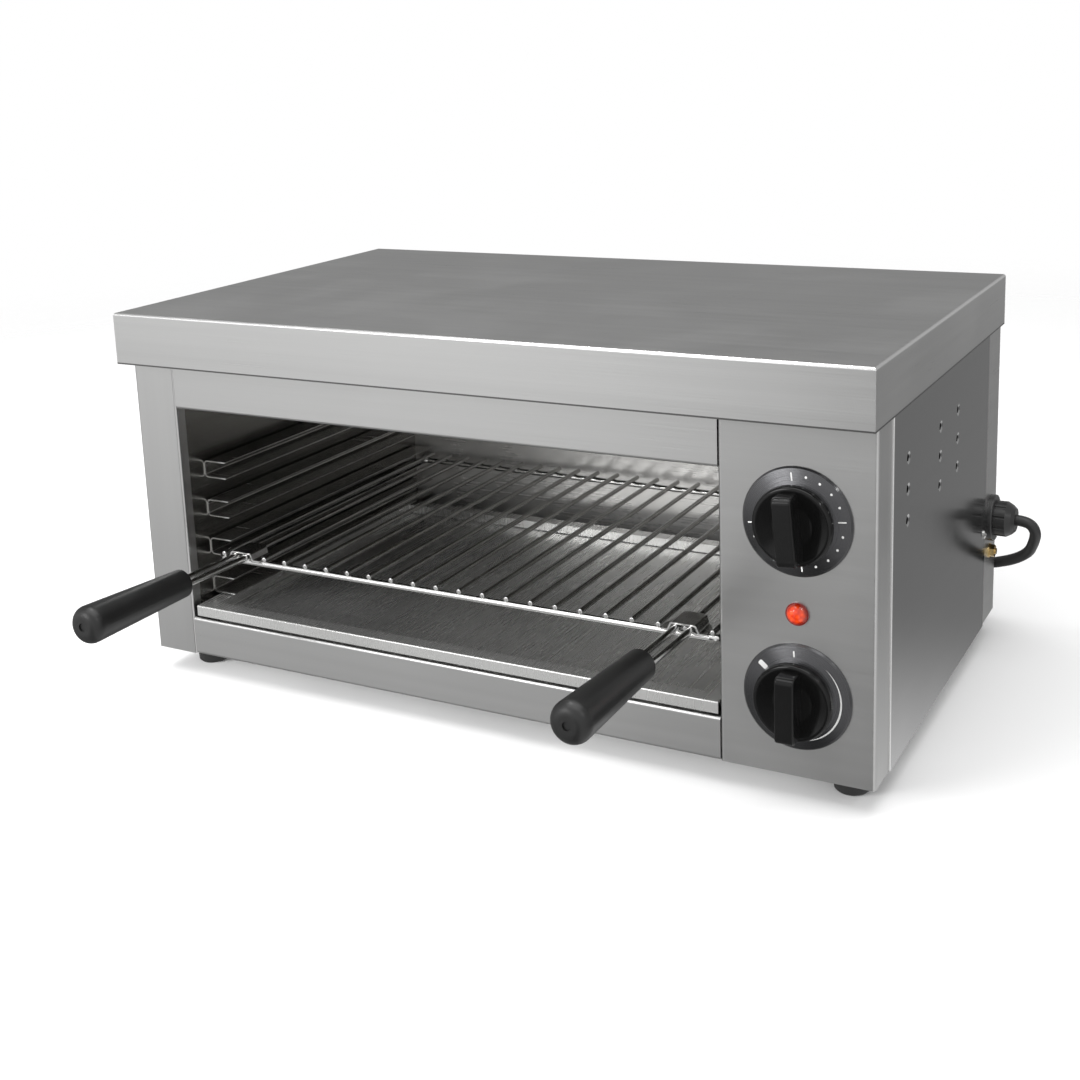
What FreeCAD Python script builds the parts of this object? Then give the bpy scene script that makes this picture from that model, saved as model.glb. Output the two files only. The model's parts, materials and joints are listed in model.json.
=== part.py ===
import FreeCAD, Part
import math
import os

# Countertop electric cheese melter, in millimetres.
# +Z is up, the open front faces -Y, and the origin lies on the counter, at the middle of the
# plan box from the ends of the two handles to the rear of the lid.

V = FreeCAD.Vector
UP = V(0, 0, 1)
RIGHT = V(1, 0, 0)
REAR = V(0, 1, 0)
FRONT = V(0, -1, 0)
LEFT = V(-1, 0, 0)

# Driving sizes of the casing
cover_width = 610.0
cover_depth = 370.0
cover_skirt = 41.0
body_height = 285.0
foot_height = 20.0
sheet = 1.0
bend = 1.2
lid_bend = 2.2
lid_gap = 0.3
lid_corner_drop = 0.5
seam_gap = 0.25
overrun = 1.0

# Front face of the casing
fascia_recess = 16.4
stile_width = 40.0
stile_return = 10.0
seam_from_side = 107.7
header_drop = 78.0
header_return = 16.0
sill_height = 31.5
sill_return = 12.0
panel_return = 10.0
side_strip_front = 31.1
side_lap = 8.0
strip_width = 45.7

# Base
pan_upstand = 18.0
pan_setback = 3.0
sill_flange = 25.0

# Heating chamber
wall_start = 2.5
chamber_rear_gap = 11.7
right_wall_inset = 14.0
roof_drop = 53.0
guide_depth = 21.5
guide_height = 14.4
guide_pitch = 33.0
guide_drop = 75.0
guide_count = 4
guides_above_count = 2
guide_setback = 28.6
guide_rear_gap = 5.0
guide_bend = 2.4

# Crumb tray and its runners
tray_side_gap = 4.7
tray_seam_gap = 1.6
tray_lip = 8.5
tray_over_sill = 2.4
tray_rim = 12.0
tray_recess = 8.0
tray_rear_gap = 31.8
tray_proud = 0.2
runner_overlap = 9.0
runner_leg = 14.0
running_gap = 0.3

# Rack
frame_wire = 5.0
grid_wire = 4.0
weld_sink = 0.25
rack_side_gap = 15.85
rack_front = 16.7
rack_rear_gap = 9.0
frame_corner = 9.0
wire_spacing = 20.2
wire_inset = 9.4
wire_nose = 2.2
wire_tail = 8.0

# Rack handles
handle_reach = 146.0
handle_inset = 30.0
handle_tilt = 1.5
rod_wire = 5.0
rod_spacing = 11.0
rod_tail = 16.0
rod_in_grip = 38.0
grip_length = 107.0
grip_inner_radius = 11.0
grip_outer_radius = 14.0
grip_nose = 9.0
grip_shoulder = 3.5
grip_dimple_radius = 3.0
grip_dimple_depth = 1.2
bracket_width = 34.0
bracket_crown = 19.0
bracket_sheet = 1.2
bracket_front = 5.0
bracket_rear = 19.0
bracket_hole = 1.6
bracket_step = 1.6

# Heating elements
element_tube = 8.0
element_drop = 16.0
element_count = 2
element_legs = 4
element_first = 41.0
element_rear_gap = 47.6
element_left_gap = 23.0
element_turn_gap = 27.0
element_pin = 4.0
element_pin_length = 11.0
element_stub = 14.0
element_collar = 7.0
element_collar_length = 3.0
element_clear = 0.3
turn_share = 0.47
hanger_sheet = 1.2
hanger_foot = 10.0
hanger_margin = 12.0
hanger_below = 7.5
hanger_shares = (0.22, 0.78)

# Controls
control_from_side = 53.4
timer_drop = 108.1
heat_rise = 56.9
lamp_rise = 114.4
dial_radius = 37.0
dial_plate = 2.0
dial_bevel = 1.2
dial_hole = 7.0
knob_radius = 26.7
knob_foot = 23.0
knob_gap = 0.6
knob_wall = 11.0
knob_flank = 6.0
knob_rim = 3.0
knob_round = 2.4
knob_dish = 2.2
knob_hub = 7.0
grip_width = 12.8
grip_height = 14.6
grip_reach = 22.8
grip_end_round = 4.0
grip_top_round = 1.2
timer_lean = 5.0
shaft_radius = 3.0
shaft_clear = 0.05
shaft_in_body = 14.0
shaft_in_knob = 12.0
bush_radius = 5.0
bush_hole = 5.3
bush_proud = 2.2
timer_case = 42.0
timer_case_depth = 24.0
timer_drum_radius = 18.0
timer_drum_depth = 14.0
heat_case_width = 38.0
heat_case_height = 34.0
heat_case_depth = 32.0
case_bevel = 2.0
tab_width = 6.3
tab_thick = 0.8
tab_length = 9.0
tab_spread = 12.0
control_screw = 2.0
control_screw_length = 10.0
control_screw_spread = 28.0
control_screw_head = 3.4
control_screw_rise = 1.6
lamp_radius = 7.8
lamp_rim = 1.4
lamp_dome = 4.4
lamp_tube = 6.4
lamp_hole = 6.6
lamp_depth = 26.0
lamp_nut = 9.0
lamp_nut_thick = 3.0

# Terminal block
block_length = 44.0
block_width = 22.0
block_height = 20.0
block_poles = 3
block_back = 60.0
block_screw = 2.8
block_screw_deep = 9.0
block_groove = 3.0

# Vent holes of the right side panel, as shares of that panel's visible length
vent_column_shares = (0.129, 0.441, 0.629)
vent_drop = 78.0
vent_pitch = 21.6
vent_rows = 3
vent_radius = 2.6
vent_dish = 4.4
vent_dish_depth = 0.7
side_edge_round = 0.6

# Cable gland and earth stud on the right rear strip
gland_z = 106.5
gland_flange_radius = 19.0
gland_flange = 5.0
gland_flange_round = 1.2
gland_thread = 11.0
gland_inside = 13.0
gland_clear = 0.1
dome_radius = 14.5
dome_length = 16.0
dome_end_radius = 9.5
dome_ribs = 10
dome_rib_radius = 1.5
dome_straight = 9.0
locknut_radius = 15.5
locknut_thick = 5.0
hex_sides = 6
earth_z = 78.0
earth_radius = 2.5
earth_washer_radius = 6.0
earth_washer_thick = 1.2
earth_nut_radius = 5.4
earth_nut = 3.6
earth_tail = 6.0
earth_proud = 1.2

# Screws of the casing
screw_head_radius = 3.6
screw_head = 1.8
screw_shank = 1.6
screw_length = 6.0
screw_hole = 1.8
screw_recess = 1.0
side_screw_z = 100.0
side_screw_edge = 3.6
back_screw_edge = 12.0
back_screw_margin = 22.0
back_screw_columns = 4

# Feet
foot_radius = 14.0
foot_base_radius = 12.4
foot_round = 1.6
foot_inset = 26.7
foot_front = 35.6
foot_rear = 36.0
foot_plug = 5.0
foot_plug_clear = 0.15
foot_barb = 6.6
foot_barb_height = 4.0

# Supply cord, the coil that its spare length is wound into, and its plug
cord = 9.0
cord_in_nut = 1.0
cord_first_run = 10.5
cord_last_run = 26.0
coil_radius = 50.0
coil_gap = 0.6
coil_turns = 4.5
coil_steps_per_turn = 4
coil_from_partition = 100.0
coil_behind = 74.0
coil_tail = 45.0
nudge_share = 0.001
turn_fill_share = 0.45
tie_width = 7.0
tie_thick = 1.2
tie_gap = 0.3
tie_round = 2.0
floor_gap = 0.1
plug_radius = 18.5
plug_neck = 7.0
plug_neck_length = 10.0
plug_taper = 22.0
plug_face = 13.0
plug_face_round = 1.5
plug_pin = 4.8
plug_pin_length = 19.0
plug_pin_spread = 19.0
plug_pin_in = 9.0
plug_pin_round = 1.6
plug_slot_width = 6.0
plug_slot_depth = 2.5
sheath_inside = 6.0

# Points of the cord's free route between its first and last run, chosen by hand
cord_route = [
    (339.4, 236.0, 98.0),
    (336.6, 242.0, 86.0),
    (330.6, 251.5, 73.0),
    (312.5, 263.5, 60.0),
    (281.0, 275.0, 49.0),
    (244.0, 281.0, 36.0),
    (209.0, 280.0, 18.0),
    (175.0, 273.0, 7.6),
]

# Internal wires
wire = 2.4
wire_bend = 9.0

# Places that follow from the sizes
top = foot_height + body_height
under_lid = top - sheet
wall_top = under_lid - lid_corner_drop
under_body = foot_height
cover_front = (handle_reach - cover_depth) / 2
cover_back = cover_front + cover_depth
half = cover_width / 2
side = half - sheet - lid_gap
inner_side = side - sheet
fascia = cover_front + fascia_recess
body_back = cover_back - sheet - lid_gap
stile_edge = stile_width - side
seam = side - seam_from_side
strip_edge = body_back - strip_width
strip_mid = (strip_edge + body_back) / 2
header_bottom = top - header_drop
sill_top = under_body + sill_height
pan_floor = under_body + sheet
left_wall = stile_edge - sheet
right_wall = seam + right_wall_inset
wall_bottom = pan_floor + sheet
chamber_back = body_back - chamber_rear_gap
roof = top - roof_drop
header_shelf = header_bottom + sheet
tray_left = stile_edge + tray_side_gap
tray_right = seam - tray_seam_gap
tray_bottom = sill_top + tray_over_sill
tray_top = tray_bottom + tray_lip
tray_front = fascia - tray_proud
tray_back = chamber_back - tray_rear_gap
control_x = side - control_from_side
timer_z = top - timer_drop
heat_z = under_body + heat_rise
lamp_z = under_body + lamp_rise
foot_x = side - foot_inset
rack_x = (left_wall + right_wall) / 2
rack_width = right_wall - left_wall - 2 * rack_side_gap
wire_span = rack_width - 2 * wire_inset
wire_count = round(wire_span / wire_spacing) + 1
wire_pitch = wire_span / (wire_count - 1)
guide_top = roof - guide_drop
rack_guide_top = guide_top - guide_pitch * guides_above_count
frame_z = rack_guide_top - guide_height + sheet + running_gap + frame_wire / 2
grid_z = frame_z + (frame_wire + grid_wire) / 2 - weld_sink
rack_y = fascia + rack_front
rack_back = chamber_back - rack_rear_gap - frame_wire / 2 - wire_tail / 2
rod_z = frame_z + (frame_wire + rod_wire) / 2
element_z = roof - element_drop
element_span = chamber_back - fascia - element_first - element_rear_gap
element_pitch = element_span / (element_count * element_legs - 1)
vent_span = strip_edge - fascia - side_strip_front
vent_top = top - vent_drop
coil_pitch = cord + coil_gap
coil_low = cord / 2 + tie_gap + tie_thick + floor_gap
coil_x = right_wall - coil_from_partition
coil_y = body_back + coil_behind
coil_depth = coil_pitch * coil_turns / 2
plug_z = plug_radius + floor_gap

os.makedirs("parts", exist_ok=True)


def save(node, shape):
    """Writes one node's STEP file."""
    shape.exportStep("parts/" + node + ".step")


def box(x0, x1, y0, y1, z0, z1):
    """Box between two corners."""
    return Part.makeBox(x1 - x0, y1 - y0, z1 - z0, V(x0, y0, z0))


def rod(start, along, radius, length):
    """Cylinder from a point along a direction."""
    return Part.makeCylinder(radius, length, start, along)


def group(solids):
    """Several separate solids as one shape."""
    return Part.makeCompound(solids)


def joined(first, others):
    """One solid out of several that share volume."""
    return first.fuse(others).removeSplitter()


def arc_between(start, corner, end):
    """Arc that leaves start toward the corner and arrives at end from it, corner equidistant."""
    middle = (start + end) * 0.5
    half_chord = (end - start).Length / 2
    rise = (corner - middle).Length
    angle = math.atan2(rise, half_chord)
    sagitta = half_chord * math.tan(angle / 2)
    crown = middle + (corner - middle) * (sagitta / rise)
    return Part.Arc(start, crown, end).toShape()


def rounded_edges(points, radii):
    """Straight runs through points, with an arc of its own radius at each inner point."""
    edges = []
    here = points[0]
    for i in range(1, len(points) - 1):
        back = (points[i - 1] - points[i]).normalize()
        on = (points[i + 1] - points[i]).normalize()
        angle = math.acos(max(-1, min(1, back.dot(on))))
        reach = radii[i - 1] / math.tan(angle / 2)
        start = points[i] + back * reach
        end = points[i] + on * reach
        if (start - here).Length > Part.Precision.confusion():
            edges.append(Part.LineSegment(here, start).toShape())
        edges.append(arc_between(start, points[i], end))
        here = end
    edges.append(Part.LineSegment(here, points[-1]).toShape())
    return edges


def tube(edges, radius):
    """Round tube along connected edges."""
    path = Part.Wire(edges)
    first = edges[0]
    start = first.valueAt(first.FirstParameter)
    along = first.tangentAt(first.FirstParameter)
    ring = Part.Wire([Part.makeCircle(radius, start, along)])
    return path.makePipeShell([ring], True, False)


def largest_radii(points):
    """Radius at each inner point: a share of its shorter run over the half turn's tangent."""
    radii = []
    for i in range(1, len(points) - 1):
        back = points[i - 1] - points[i]
        on = points[i + 1] - points[i]
        turn = math.pi - back.getAngle(on)
        radii.append(turn_fill_share * min(back.Length, on.Length) / math.tan(turn / 2))
    return radii


def offset_line(points, distance):
    """Open polyline moved sideways, to the left for a positive distance, with mitred corners."""
    ways = [(points[i + 1] - points[i]).normalize() for i in range(len(points) - 1)]
    lefts = [V(-w.y, w.x, 0) for w in ways]
    moved = [points[0] + lefts[0] * distance]
    for i in range(1, len(points) - 1):
        bisector = lefts[i - 1] + lefts[i]
        scale = distance / (1 + lefts[i - 1].dot(lefts[i]))
        moved.append(points[i] + bisector * scale)
    moved.append(points[-1] + lefts[-1] * distance)
    return moved


def folded(outline, thickness, hand, inner, plane, low, high):
    """Folded sheet: an open outline given thickness on one hand, its corners bent, extruded.

    plane names the two axes of the outline, and low and high are its ends on the third axis.
    """
    flat = [V(u, v, 0) for u, v in outline]
    other = offset_line(flat, hand * thickness)
    near, far = [], []
    for i in range(1, len(flat) - 1):
        before = flat[i] - flat[i - 1]
        after = flat[i + 1] - flat[i]
        turns_left = before.cross(after).z > 0
        inside_other = turns_left == (hand > 0)
        near.append(inner + thickness if inside_other else inner)
        far.append(inner if inside_other else inner + thickness)
    there = rounded_edges(flat, near)
    back = rounded_edges(other[::-1], far[::-1])
    last = Part.LineSegment(flat[-1], other[-1]).toShape()
    first = Part.LineSegment(other[0], flat[0]).toShape()
    face = Part.Face(Part.Wire(there + [last] + back + [first]))
    solid = face.extrude(V(0, 0, high - low))
    if plane == "yz":
        solid.Placement = FreeCAD.Placement(V(low, 0, 0), FreeCAD.Rotation(REAR, UP, RIGHT, "ZXY"))
    elif plane == "xz":
        solid.Placement = FreeCAD.Placement(V(0, high, 0), FreeCAD.Rotation(RIGHT, UP, FRONT, "ZXY"))
    else:
        solid.Placement = FreeCAD.Placement(V(0, 0, low), FreeCAD.Rotation())
    return solid


def turned(profile, origin, along):
    """Solid of revolution: (radius, height) points closed on the axis, set along a direction."""
    points = [V(r, 0, h) for r, h in profile]
    face = Part.Face(Part.makePolygon(points + [points[0]]))
    solid = face.revolve(V(0, 0, 0), UP, 360)
    solid.Placement = FreeCAD.Placement(origin, FreeCAD.Rotation(UP, along))
    return solid


def edges_along(shape, axis, test):
    """Straight edges parallel to an axis whose middle passes a test."""
    found = []
    for edge in shape.Edges:
        if edge.Degenerated or edge.Curve.TypeId != "Part::GeomLine":
            continue
        way = edge.tangentAt(edge.FirstParameter)
        if abs(abs(way.dot(axis)) - 1) < Part.Precision.confusion() and test(edge.CenterOfMass):
            found.append(edge)
    return found


def hexagon(radius, start, along, length):
    """Hexagonal prism, radius to its corners."""
    corners = []
    for i in range(hex_sides + 1):
        turn = 2 * math.pi * i / hex_sides
        corners.append(V(radius * math.cos(turn), radius * math.sin(turn), 0))
    solid = Part.Face(Part.makePolygon(corners)).extrude(V(0, 0, length))
    solid.Placement = FreeCAD.Placement(start, FreeCAD.Rotation(UP, along))
    return solid


def top_cover():
    """Lid: a tray of sheet turned upside down, its top edges bent to a small radius."""
    outer = box(-half, half, cover_front, cover_back, top - cover_skirt, top)
    rims = [e for e in outer.Edges if abs(e.CenterOfMass.z - top) < Part.Precision.confusion()]
    outer = outer.makeFillet(lid_bend, rims)
    inner = box(
        sheet - half, half - sheet,
        cover_front + sheet, cover_back - sheet,
        top - cover_skirt - sheet, top - sheet,
    )
    rims = [
        e for e in inner.Edges
        if abs(e.CenterOfMass.z - under_lid) < Part.Precision.confusion()
    ]
    inner = inner.makeFillet(lid_bend - sheet, rims)
    return outer.cut(inner)


def screw_holes(panel, places, along):
    """Panel with clearance holes for its screws."""
    holes = [
        rod(p - along * (overrun + sheet), along, screw_hole, 2 * (overrun + sheet))
        for p in places
    ]
    return panel.cut(holes)


def side_screw_places():
    return [V(side, strip_edge - side_screw_edge, side_screw_z)]


def back_screw_places():
    """Screws of the back panel, evenly along its top and bottom."""
    places = []
    span = 2 * (inner_side - back_screw_margin)
    for i in range(back_screw_columns):
        x = span * i / (back_screw_columns - 1) - span / 2
        for z in (under_body + back_screw_edge, top - cover_skirt - back_screw_edge):
            places.append(V(x, body_back, z))
    return places


def left_side_panel():
    """Side sheet that turns the corner into the left stile and ends in a short return."""
    outline = [
        (stile_edge, fascia + stile_return),
        (stile_edge, fascia),
        (-side, fascia),
        (-side, strip_edge),
    ]
    return folded(outline, sheet, -1, bend, "xy", under_body, wall_top)


def right_side_panel():
    """Flat sheet with a rounded front edge and three columns of dished vent holes."""
    start = fascia + side_strip_front
    panel = box(inner_side, side, start, strip_edge, under_body, wall_top)
    front_edge = edges_along(panel, UP, lambda c: c.x > inner_side and c.y < strip_edge)
    panel = panel.makeFillet(side_edge_round, front_edge)
    cuts = []
    for share in vent_column_shares:
        for row in range(vent_rows):
            y = start + vent_span * share
            z = vent_top - vent_pitch * row
            cuts.append(rod(V(inner_side - overrun, y, z), RIGHT, vent_radius, sheet + 2 * overrun))
            cone = Part.makeCone(
                vent_radius, vent_dish, vent_dish_depth, V(side - vent_dish_depth, y, z), RIGHT
            )
            cuts.append(cone)
    panel = panel.cut(cuts)
    return screw_holes(panel, side_screw_places(), RIGHT)


def header_panel():
    """Strip over the opening, its lower edge returned to carry the reflector roof."""
    outline = [
        (fascia + header_return, header_bottom),
        (fascia, header_bottom),
        (fascia, under_lid),
    ]
    return folded(
        outline, sheet, -1, bend, "yz", stile_edge + seam_gap, seam - seam_gap
    )


def front_sill():
    """Channel under the opening."""
    outline = [
        (fascia + sill_return, sill_top),
        (fascia, sill_top),
        (fascia, under_body),
        (fascia + sill_flange, under_body),
    ]
    return folded(outline, sheet, 1, bend, "yz", stile_edge + seam_gap, seam - seam_gap)


def control_panel():
    """Front of the control space, turned back at the opening and round the right corner."""
    outline = [
        (seam, fascia + panel_return),
        (seam, fascia),
        (inner_side, fascia),
        (inner_side, fascia + side_strip_front + side_lap),
    ]
    panel = folded(outline, sheet, 1, bend, "xy", under_body, under_lid)
    cuts = []
    for z in (timer_z, heat_z):
        cuts.append(rod(V(control_x, fascia - overrun, z), REAR, bush_hole, sheet + 2 * overrun))
        for x in (control_x - control_screw_spread / 2, control_x + control_screw_spread / 2):
            start = V(x, fascia - overrun, z)
            cuts.append(rod(start, REAR, control_screw + shaft_clear, sheet + 2 * overrun))
    cuts.append(rod(V(control_x, fascia - overrun, lamp_z), REAR, lamp_hole, sheet + 2 * overrun))
    return panel.cut(cuts)


def back_panel():
    """Rear sheet with a strip turned forward on each side."""
    outline = [
        (-inner_side, strip_edge - side_lap),
        (-inner_side, body_back),
        (inner_side, body_back),
        (inner_side, strip_edge - side_lap),
    ]
    panel = folded(outline, sheet, -1, bend, "xy", under_body, wall_top)
    gland = rod(
        V(inner_side - 2 * sheet, strip_mid, gland_z), RIGHT, gland_thread + gland_clear, 3 * sheet
    )
    earth = rod(
        V(inner_side - 2 * sheet, strip_mid, earth_z), RIGHT, earth_radius + gland_clear, 3 * sheet
    )
    panel = panel.cut([gland, earth])
    panel = screw_holes(panel, [p - RIGHT * sheet for p in side_screw_places()], RIGHT)
    return screw_holes(panel, back_screw_places(), REAR)


def base_pan():
    """Floor sheet with upstands at the sides and rear, and holes for the feet."""
    width = inner_side - sheet
    outer = box(
        -width, width,
        fascia + pan_setback, body_back - sheet,
        pan_floor, pan_floor + pan_upstand,
    )
    outer = outer.makeFillet(bend + sheet, edges_along(outer, UP, lambda c: c.y > strip_edge))
    inner = box(
        sheet - width, width - sheet,
        fascia + pan_setback - overrun, body_back - 2 * sheet,
        pan_floor + sheet, pan_floor + pan_upstand + overrun,
    )
    inner = inner.makeFillet(bend, edges_along(inner, UP, lambda c: c.y > strip_edge))
    pan = screw_holes(outer.cut(inner), back_screw_places(), REAR)
    cuts = [
        rod(V(x, y, under_body), UP, foot_plug + foot_plug_clear, sheet + 2 * overrun)
        for x, y in foot_places()
    ]
    notch_end = fascia + max(stile_return, panel_return) + running_gap
    for low, high in ((stile_edge - sheet, stile_edge), (seam, seam + sheet)):
        cuts.append(box(
            low - running_gap, high + running_gap,
            fascia, notch_end,
            under_body, pan_floor + sheet + overrun,
        ))
    return pan.cut(cuts)


def foot_places():
    """Centres of the four feet."""
    return [(s * foot_x, y) for y in (fascia + foot_front, body_back - foot_rear) for s in (-1, 1)]


def chamber_left_wall():
    outline = [
        (left_wall, fascia + wall_start),
        (left_wall, chamber_back),
    ]
    return folded(outline, sheet, 1, bend, "xy", wall_bottom, roof)


def element_leg_places():
    """Depth of each straight leg of each heating element."""
    places = []
    for element in range(element_count):
        first = fascia + element_first + element * element_legs * element_pitch
        places.append([first + element_pitch * leg for leg in range(element_legs)])
    return places


def chamber_right_wall():
    """Partition to the control space, joggled at the front to lap behind the control panel."""
    outline = [
        (seam + sheet, fascia + wall_start),
        (seam + sheet, fascia + panel_return + wall_start),
        (right_wall, fascia + panel_return + wall_start),
        (right_wall, chamber_back),
    ]
    wall = folded(outline, sheet, -1, bend, "xy", wall_bottom, roof)
    cuts = []
    for legs in element_leg_places():
        for y in (legs[0], legs[-1]):
            start = V(right_wall - overrun, y, element_z)
            cuts.append(rod(start, RIGHT, element_tube / 2 + element_clear, sheet + 2 * overrun))
    return wall.cut(cuts)


def chamber_back_wall():
    return box(
        left_wall - sheet, right_wall + sheet, chamber_back, chamber_back + sheet, wall_bottom, roof
    )


def reflector_roof():
    """Reflector over the elements, its front edge turned down onto the header's return."""
    front = fascia + header_return - sheet
    outline = [
        (front, header_shelf),
        (front, roof + sheet),
        (chamber_back + sheet, roof + sheet),
    ]
    low, high = left_wall - sheet, right_wall + sheet
    sheet_metal = folded(outline, sheet, -1, bend, "yz", low, high)
    corners = [
        box(x0, x1, front - overrun, front + bend + sheet + overrun, header_shelf - overrun, roof)
        for x0, x1 in ((low - overrun, left_wall), (right_wall, high + overrun))
    ]
    return sheet_metal.cut(corners)


def rack_guide(hand, number):
    """Channel on a chamber wall, its lower flange curved up from the web."""
    wall = left_wall if hand < 0 else right_wall
    z = guide_top - guide_pitch * number
    tip = wall - hand * guide_depth
    outline = [
        (tip, z),
        (wall, z),
        (wall, z - guide_height),
        (tip, z - guide_height),
    ]
    return folded(
        outline, sheet, -hand, guide_bend, "xz",
        fascia + guide_setback, chamber_back - guide_rear_gap,
    )


def tray_runner(hand):
    """Angle on a chamber wall that carries one rim of the crumb tray."""
    wall = left_wall if hand < 0 else right_wall
    rim = tray_left if hand < 0 else tray_right
    carry = tray_top - sheet - running_gap
    outline = [
        (rim - hand * runner_overlap, carry),
        (wall, carry),
        (wall, carry - runner_leg),
    ]
    start = fascia + panel_return + 2 * wall_start
    return folded(outline, sheet, -hand, bend, "xz", start, chamber_back - guide_rear_gap)


def element_edges(legs):
    """Path of one serpentine element, both ends in the control space."""
    left = left_wall + element_left_gap
    right = right_wall - element_turn_gap
    end = right_wall + sheet + element_stub
    xs = [end, left, left, right, right, left, left, end]
    points = [V(x, legs[i // 2], element_z) for i, x in enumerate(xs)]
    radii = [element_pitch * turn_share for corner in points[1:-1]]
    return rounded_edges(points, radii), points


def heating_element(legs):
    """Sheathed tube with a collar and a threaded pin at each end."""
    edges, points = element_edges(legs)
    body = tube(edges, element_tube / 2)
    extras = []
    for end in (points[0], points[-1]):
        collar_start = V(right_wall + sheet, end.y, end.z)
        extras.append(rod(collar_start, RIGHT, element_collar, element_collar_length))
        extras.append(rod(end - RIGHT * overrun, RIGHT, element_pin / 2, element_pin_length))
    return body.fuse(extras)


def element_hanger(share):
    """Strip with a round hole for each leg, its top edge turned against the reflector."""
    legs = [y for element in element_leg_places() for y in element]
    width = right_wall - left_wall
    x = left_wall + width * share
    low = element_z - hanger_below
    outline = [(x, low), (x, roof), (x + hanger_foot, roof)]
    strip = folded(
        outline, hanger_sheet, -1, bend, "xz", legs[0] - hanger_margin, legs[-1] + hanger_margin
    )
    radius = element_tube / 2 + element_clear
    cuts = [rod(V(x - overrun, y, element_z), RIGHT, radius, hanger_sheet + 2 * overrun) for y in legs]
    return strip.cut(cuts)


def shaft_bore(z):
    """Running bore for a control's shaft."""
    start = V(control_x, fascia - bush_proud - overrun, z)
    return rod(start, REAR, shaft_radius + shaft_clear, shaft_in_body + bush_proud + 2 * overrun)


def tabs(z, depth):
    """Blade terminals on the back of a control."""
    blades = []
    for x in (control_x - tab_spread / 2, control_x + tab_spread / 2):
        blades.append(box(
            x - tab_thick / 2, x + tab_thick / 2,
            depth - overrun, depth + tab_length,
            z - tab_width / 2, z + tab_width / 2,
        ))
    return blades


def bevelled_case(width, height, depth, z):
    """Case of a control, against the back of the panel, its long edges bevelled."""
    front = fascia + sheet
    case = box(
        control_x - width / 2, control_x + width / 2,
        front, front + depth,
        z - height / 2, z + height / 2,
    )
    corners = edges_along(case, REAR, lambda c: True)
    return case.makeChamfer(case_bevel, corners)


def screw_sockets(z):
    """Blind holes in a control's case for its two screws."""
    length = control_screw_length + overrun
    return [
        rod(V(x, fascia, z), REAR, control_screw + shaft_clear, length)
        for x in (control_x - control_screw_spread / 2, control_x + control_screw_spread / 2)
    ]


def timer_body():
    """Clockwork case with its drum behind and a bush through the panel."""
    case = bevelled_case(timer_case, timer_case, timer_case_depth, timer_z)
    back = fascia + sheet + timer_case_depth
    drum = rod(V(control_x, back - overrun, timer_z), REAR, timer_drum_radius, timer_drum_depth)
    bush_length = bush_proud + sheet + overrun
    bush = rod(V(control_x, fascia - bush_proud, timer_z), REAR, bush_radius, bush_length)
    body = joined(case, [drum, bush] + tabs(timer_z, back + timer_drum_depth - overrun))
    return body.cut([shaft_bore(timer_z)] + screw_sockets(timer_z))


def heat_control_body():
    """Energy regulator: a plain case with a bush through the panel."""
    case = bevelled_case(heat_case_width, heat_case_height, heat_case_depth, heat_z)
    bush_length = bush_proud + sheet + overrun
    bush = rod(V(control_x, fascia - bush_proud, heat_z), REAR, bush_radius, bush_length)
    body = joined(case, [bush] + tabs(heat_z, fascia + sheet + heat_case_depth))
    return body.cut([shaft_bore(heat_z)] + screw_sockets(heat_z))


def control_shaft(z):
    """Plain shaft from inside the control to inside its knob."""
    start = knob_base() - shaft_in_knob
    return rod(V(control_x, start, z), REAR, shaft_radius, fascia + shaft_in_body - start)


def dial_ring(z):
    """Round bezel with a bevelled edge, flat on the panel."""
    profile = [
        (0, 0),
        (dial_radius, 0),
        (dial_radius, dial_plate - dial_bevel),
        (dial_radius - dial_bevel, dial_plate),
        (0, dial_plate),
    ]
    ring = turned(profile, V(control_x, fascia, z), FRONT)
    hole = rod(V(control_x, fascia + overrun, z), FRONT, dial_hole, dial_plate + 2 * overrun)
    cuts = [hole]
    for x in (control_x - control_screw_spread / 2, control_x + control_screw_spread / 2):
        cuts.append(rod(V(x, fascia + overrun, z), FRONT, control_screw + shaft_clear, dial_plate))
        cuts.append(rod(V(x, fascia, z), FRONT, control_screw + shaft_clear, dial_plate + overrun))
    return ring.cut(cuts)


def knob_base():
    """Depth of the knob's rear rim."""
    return fascia - dial_plate - knob_gap


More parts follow.
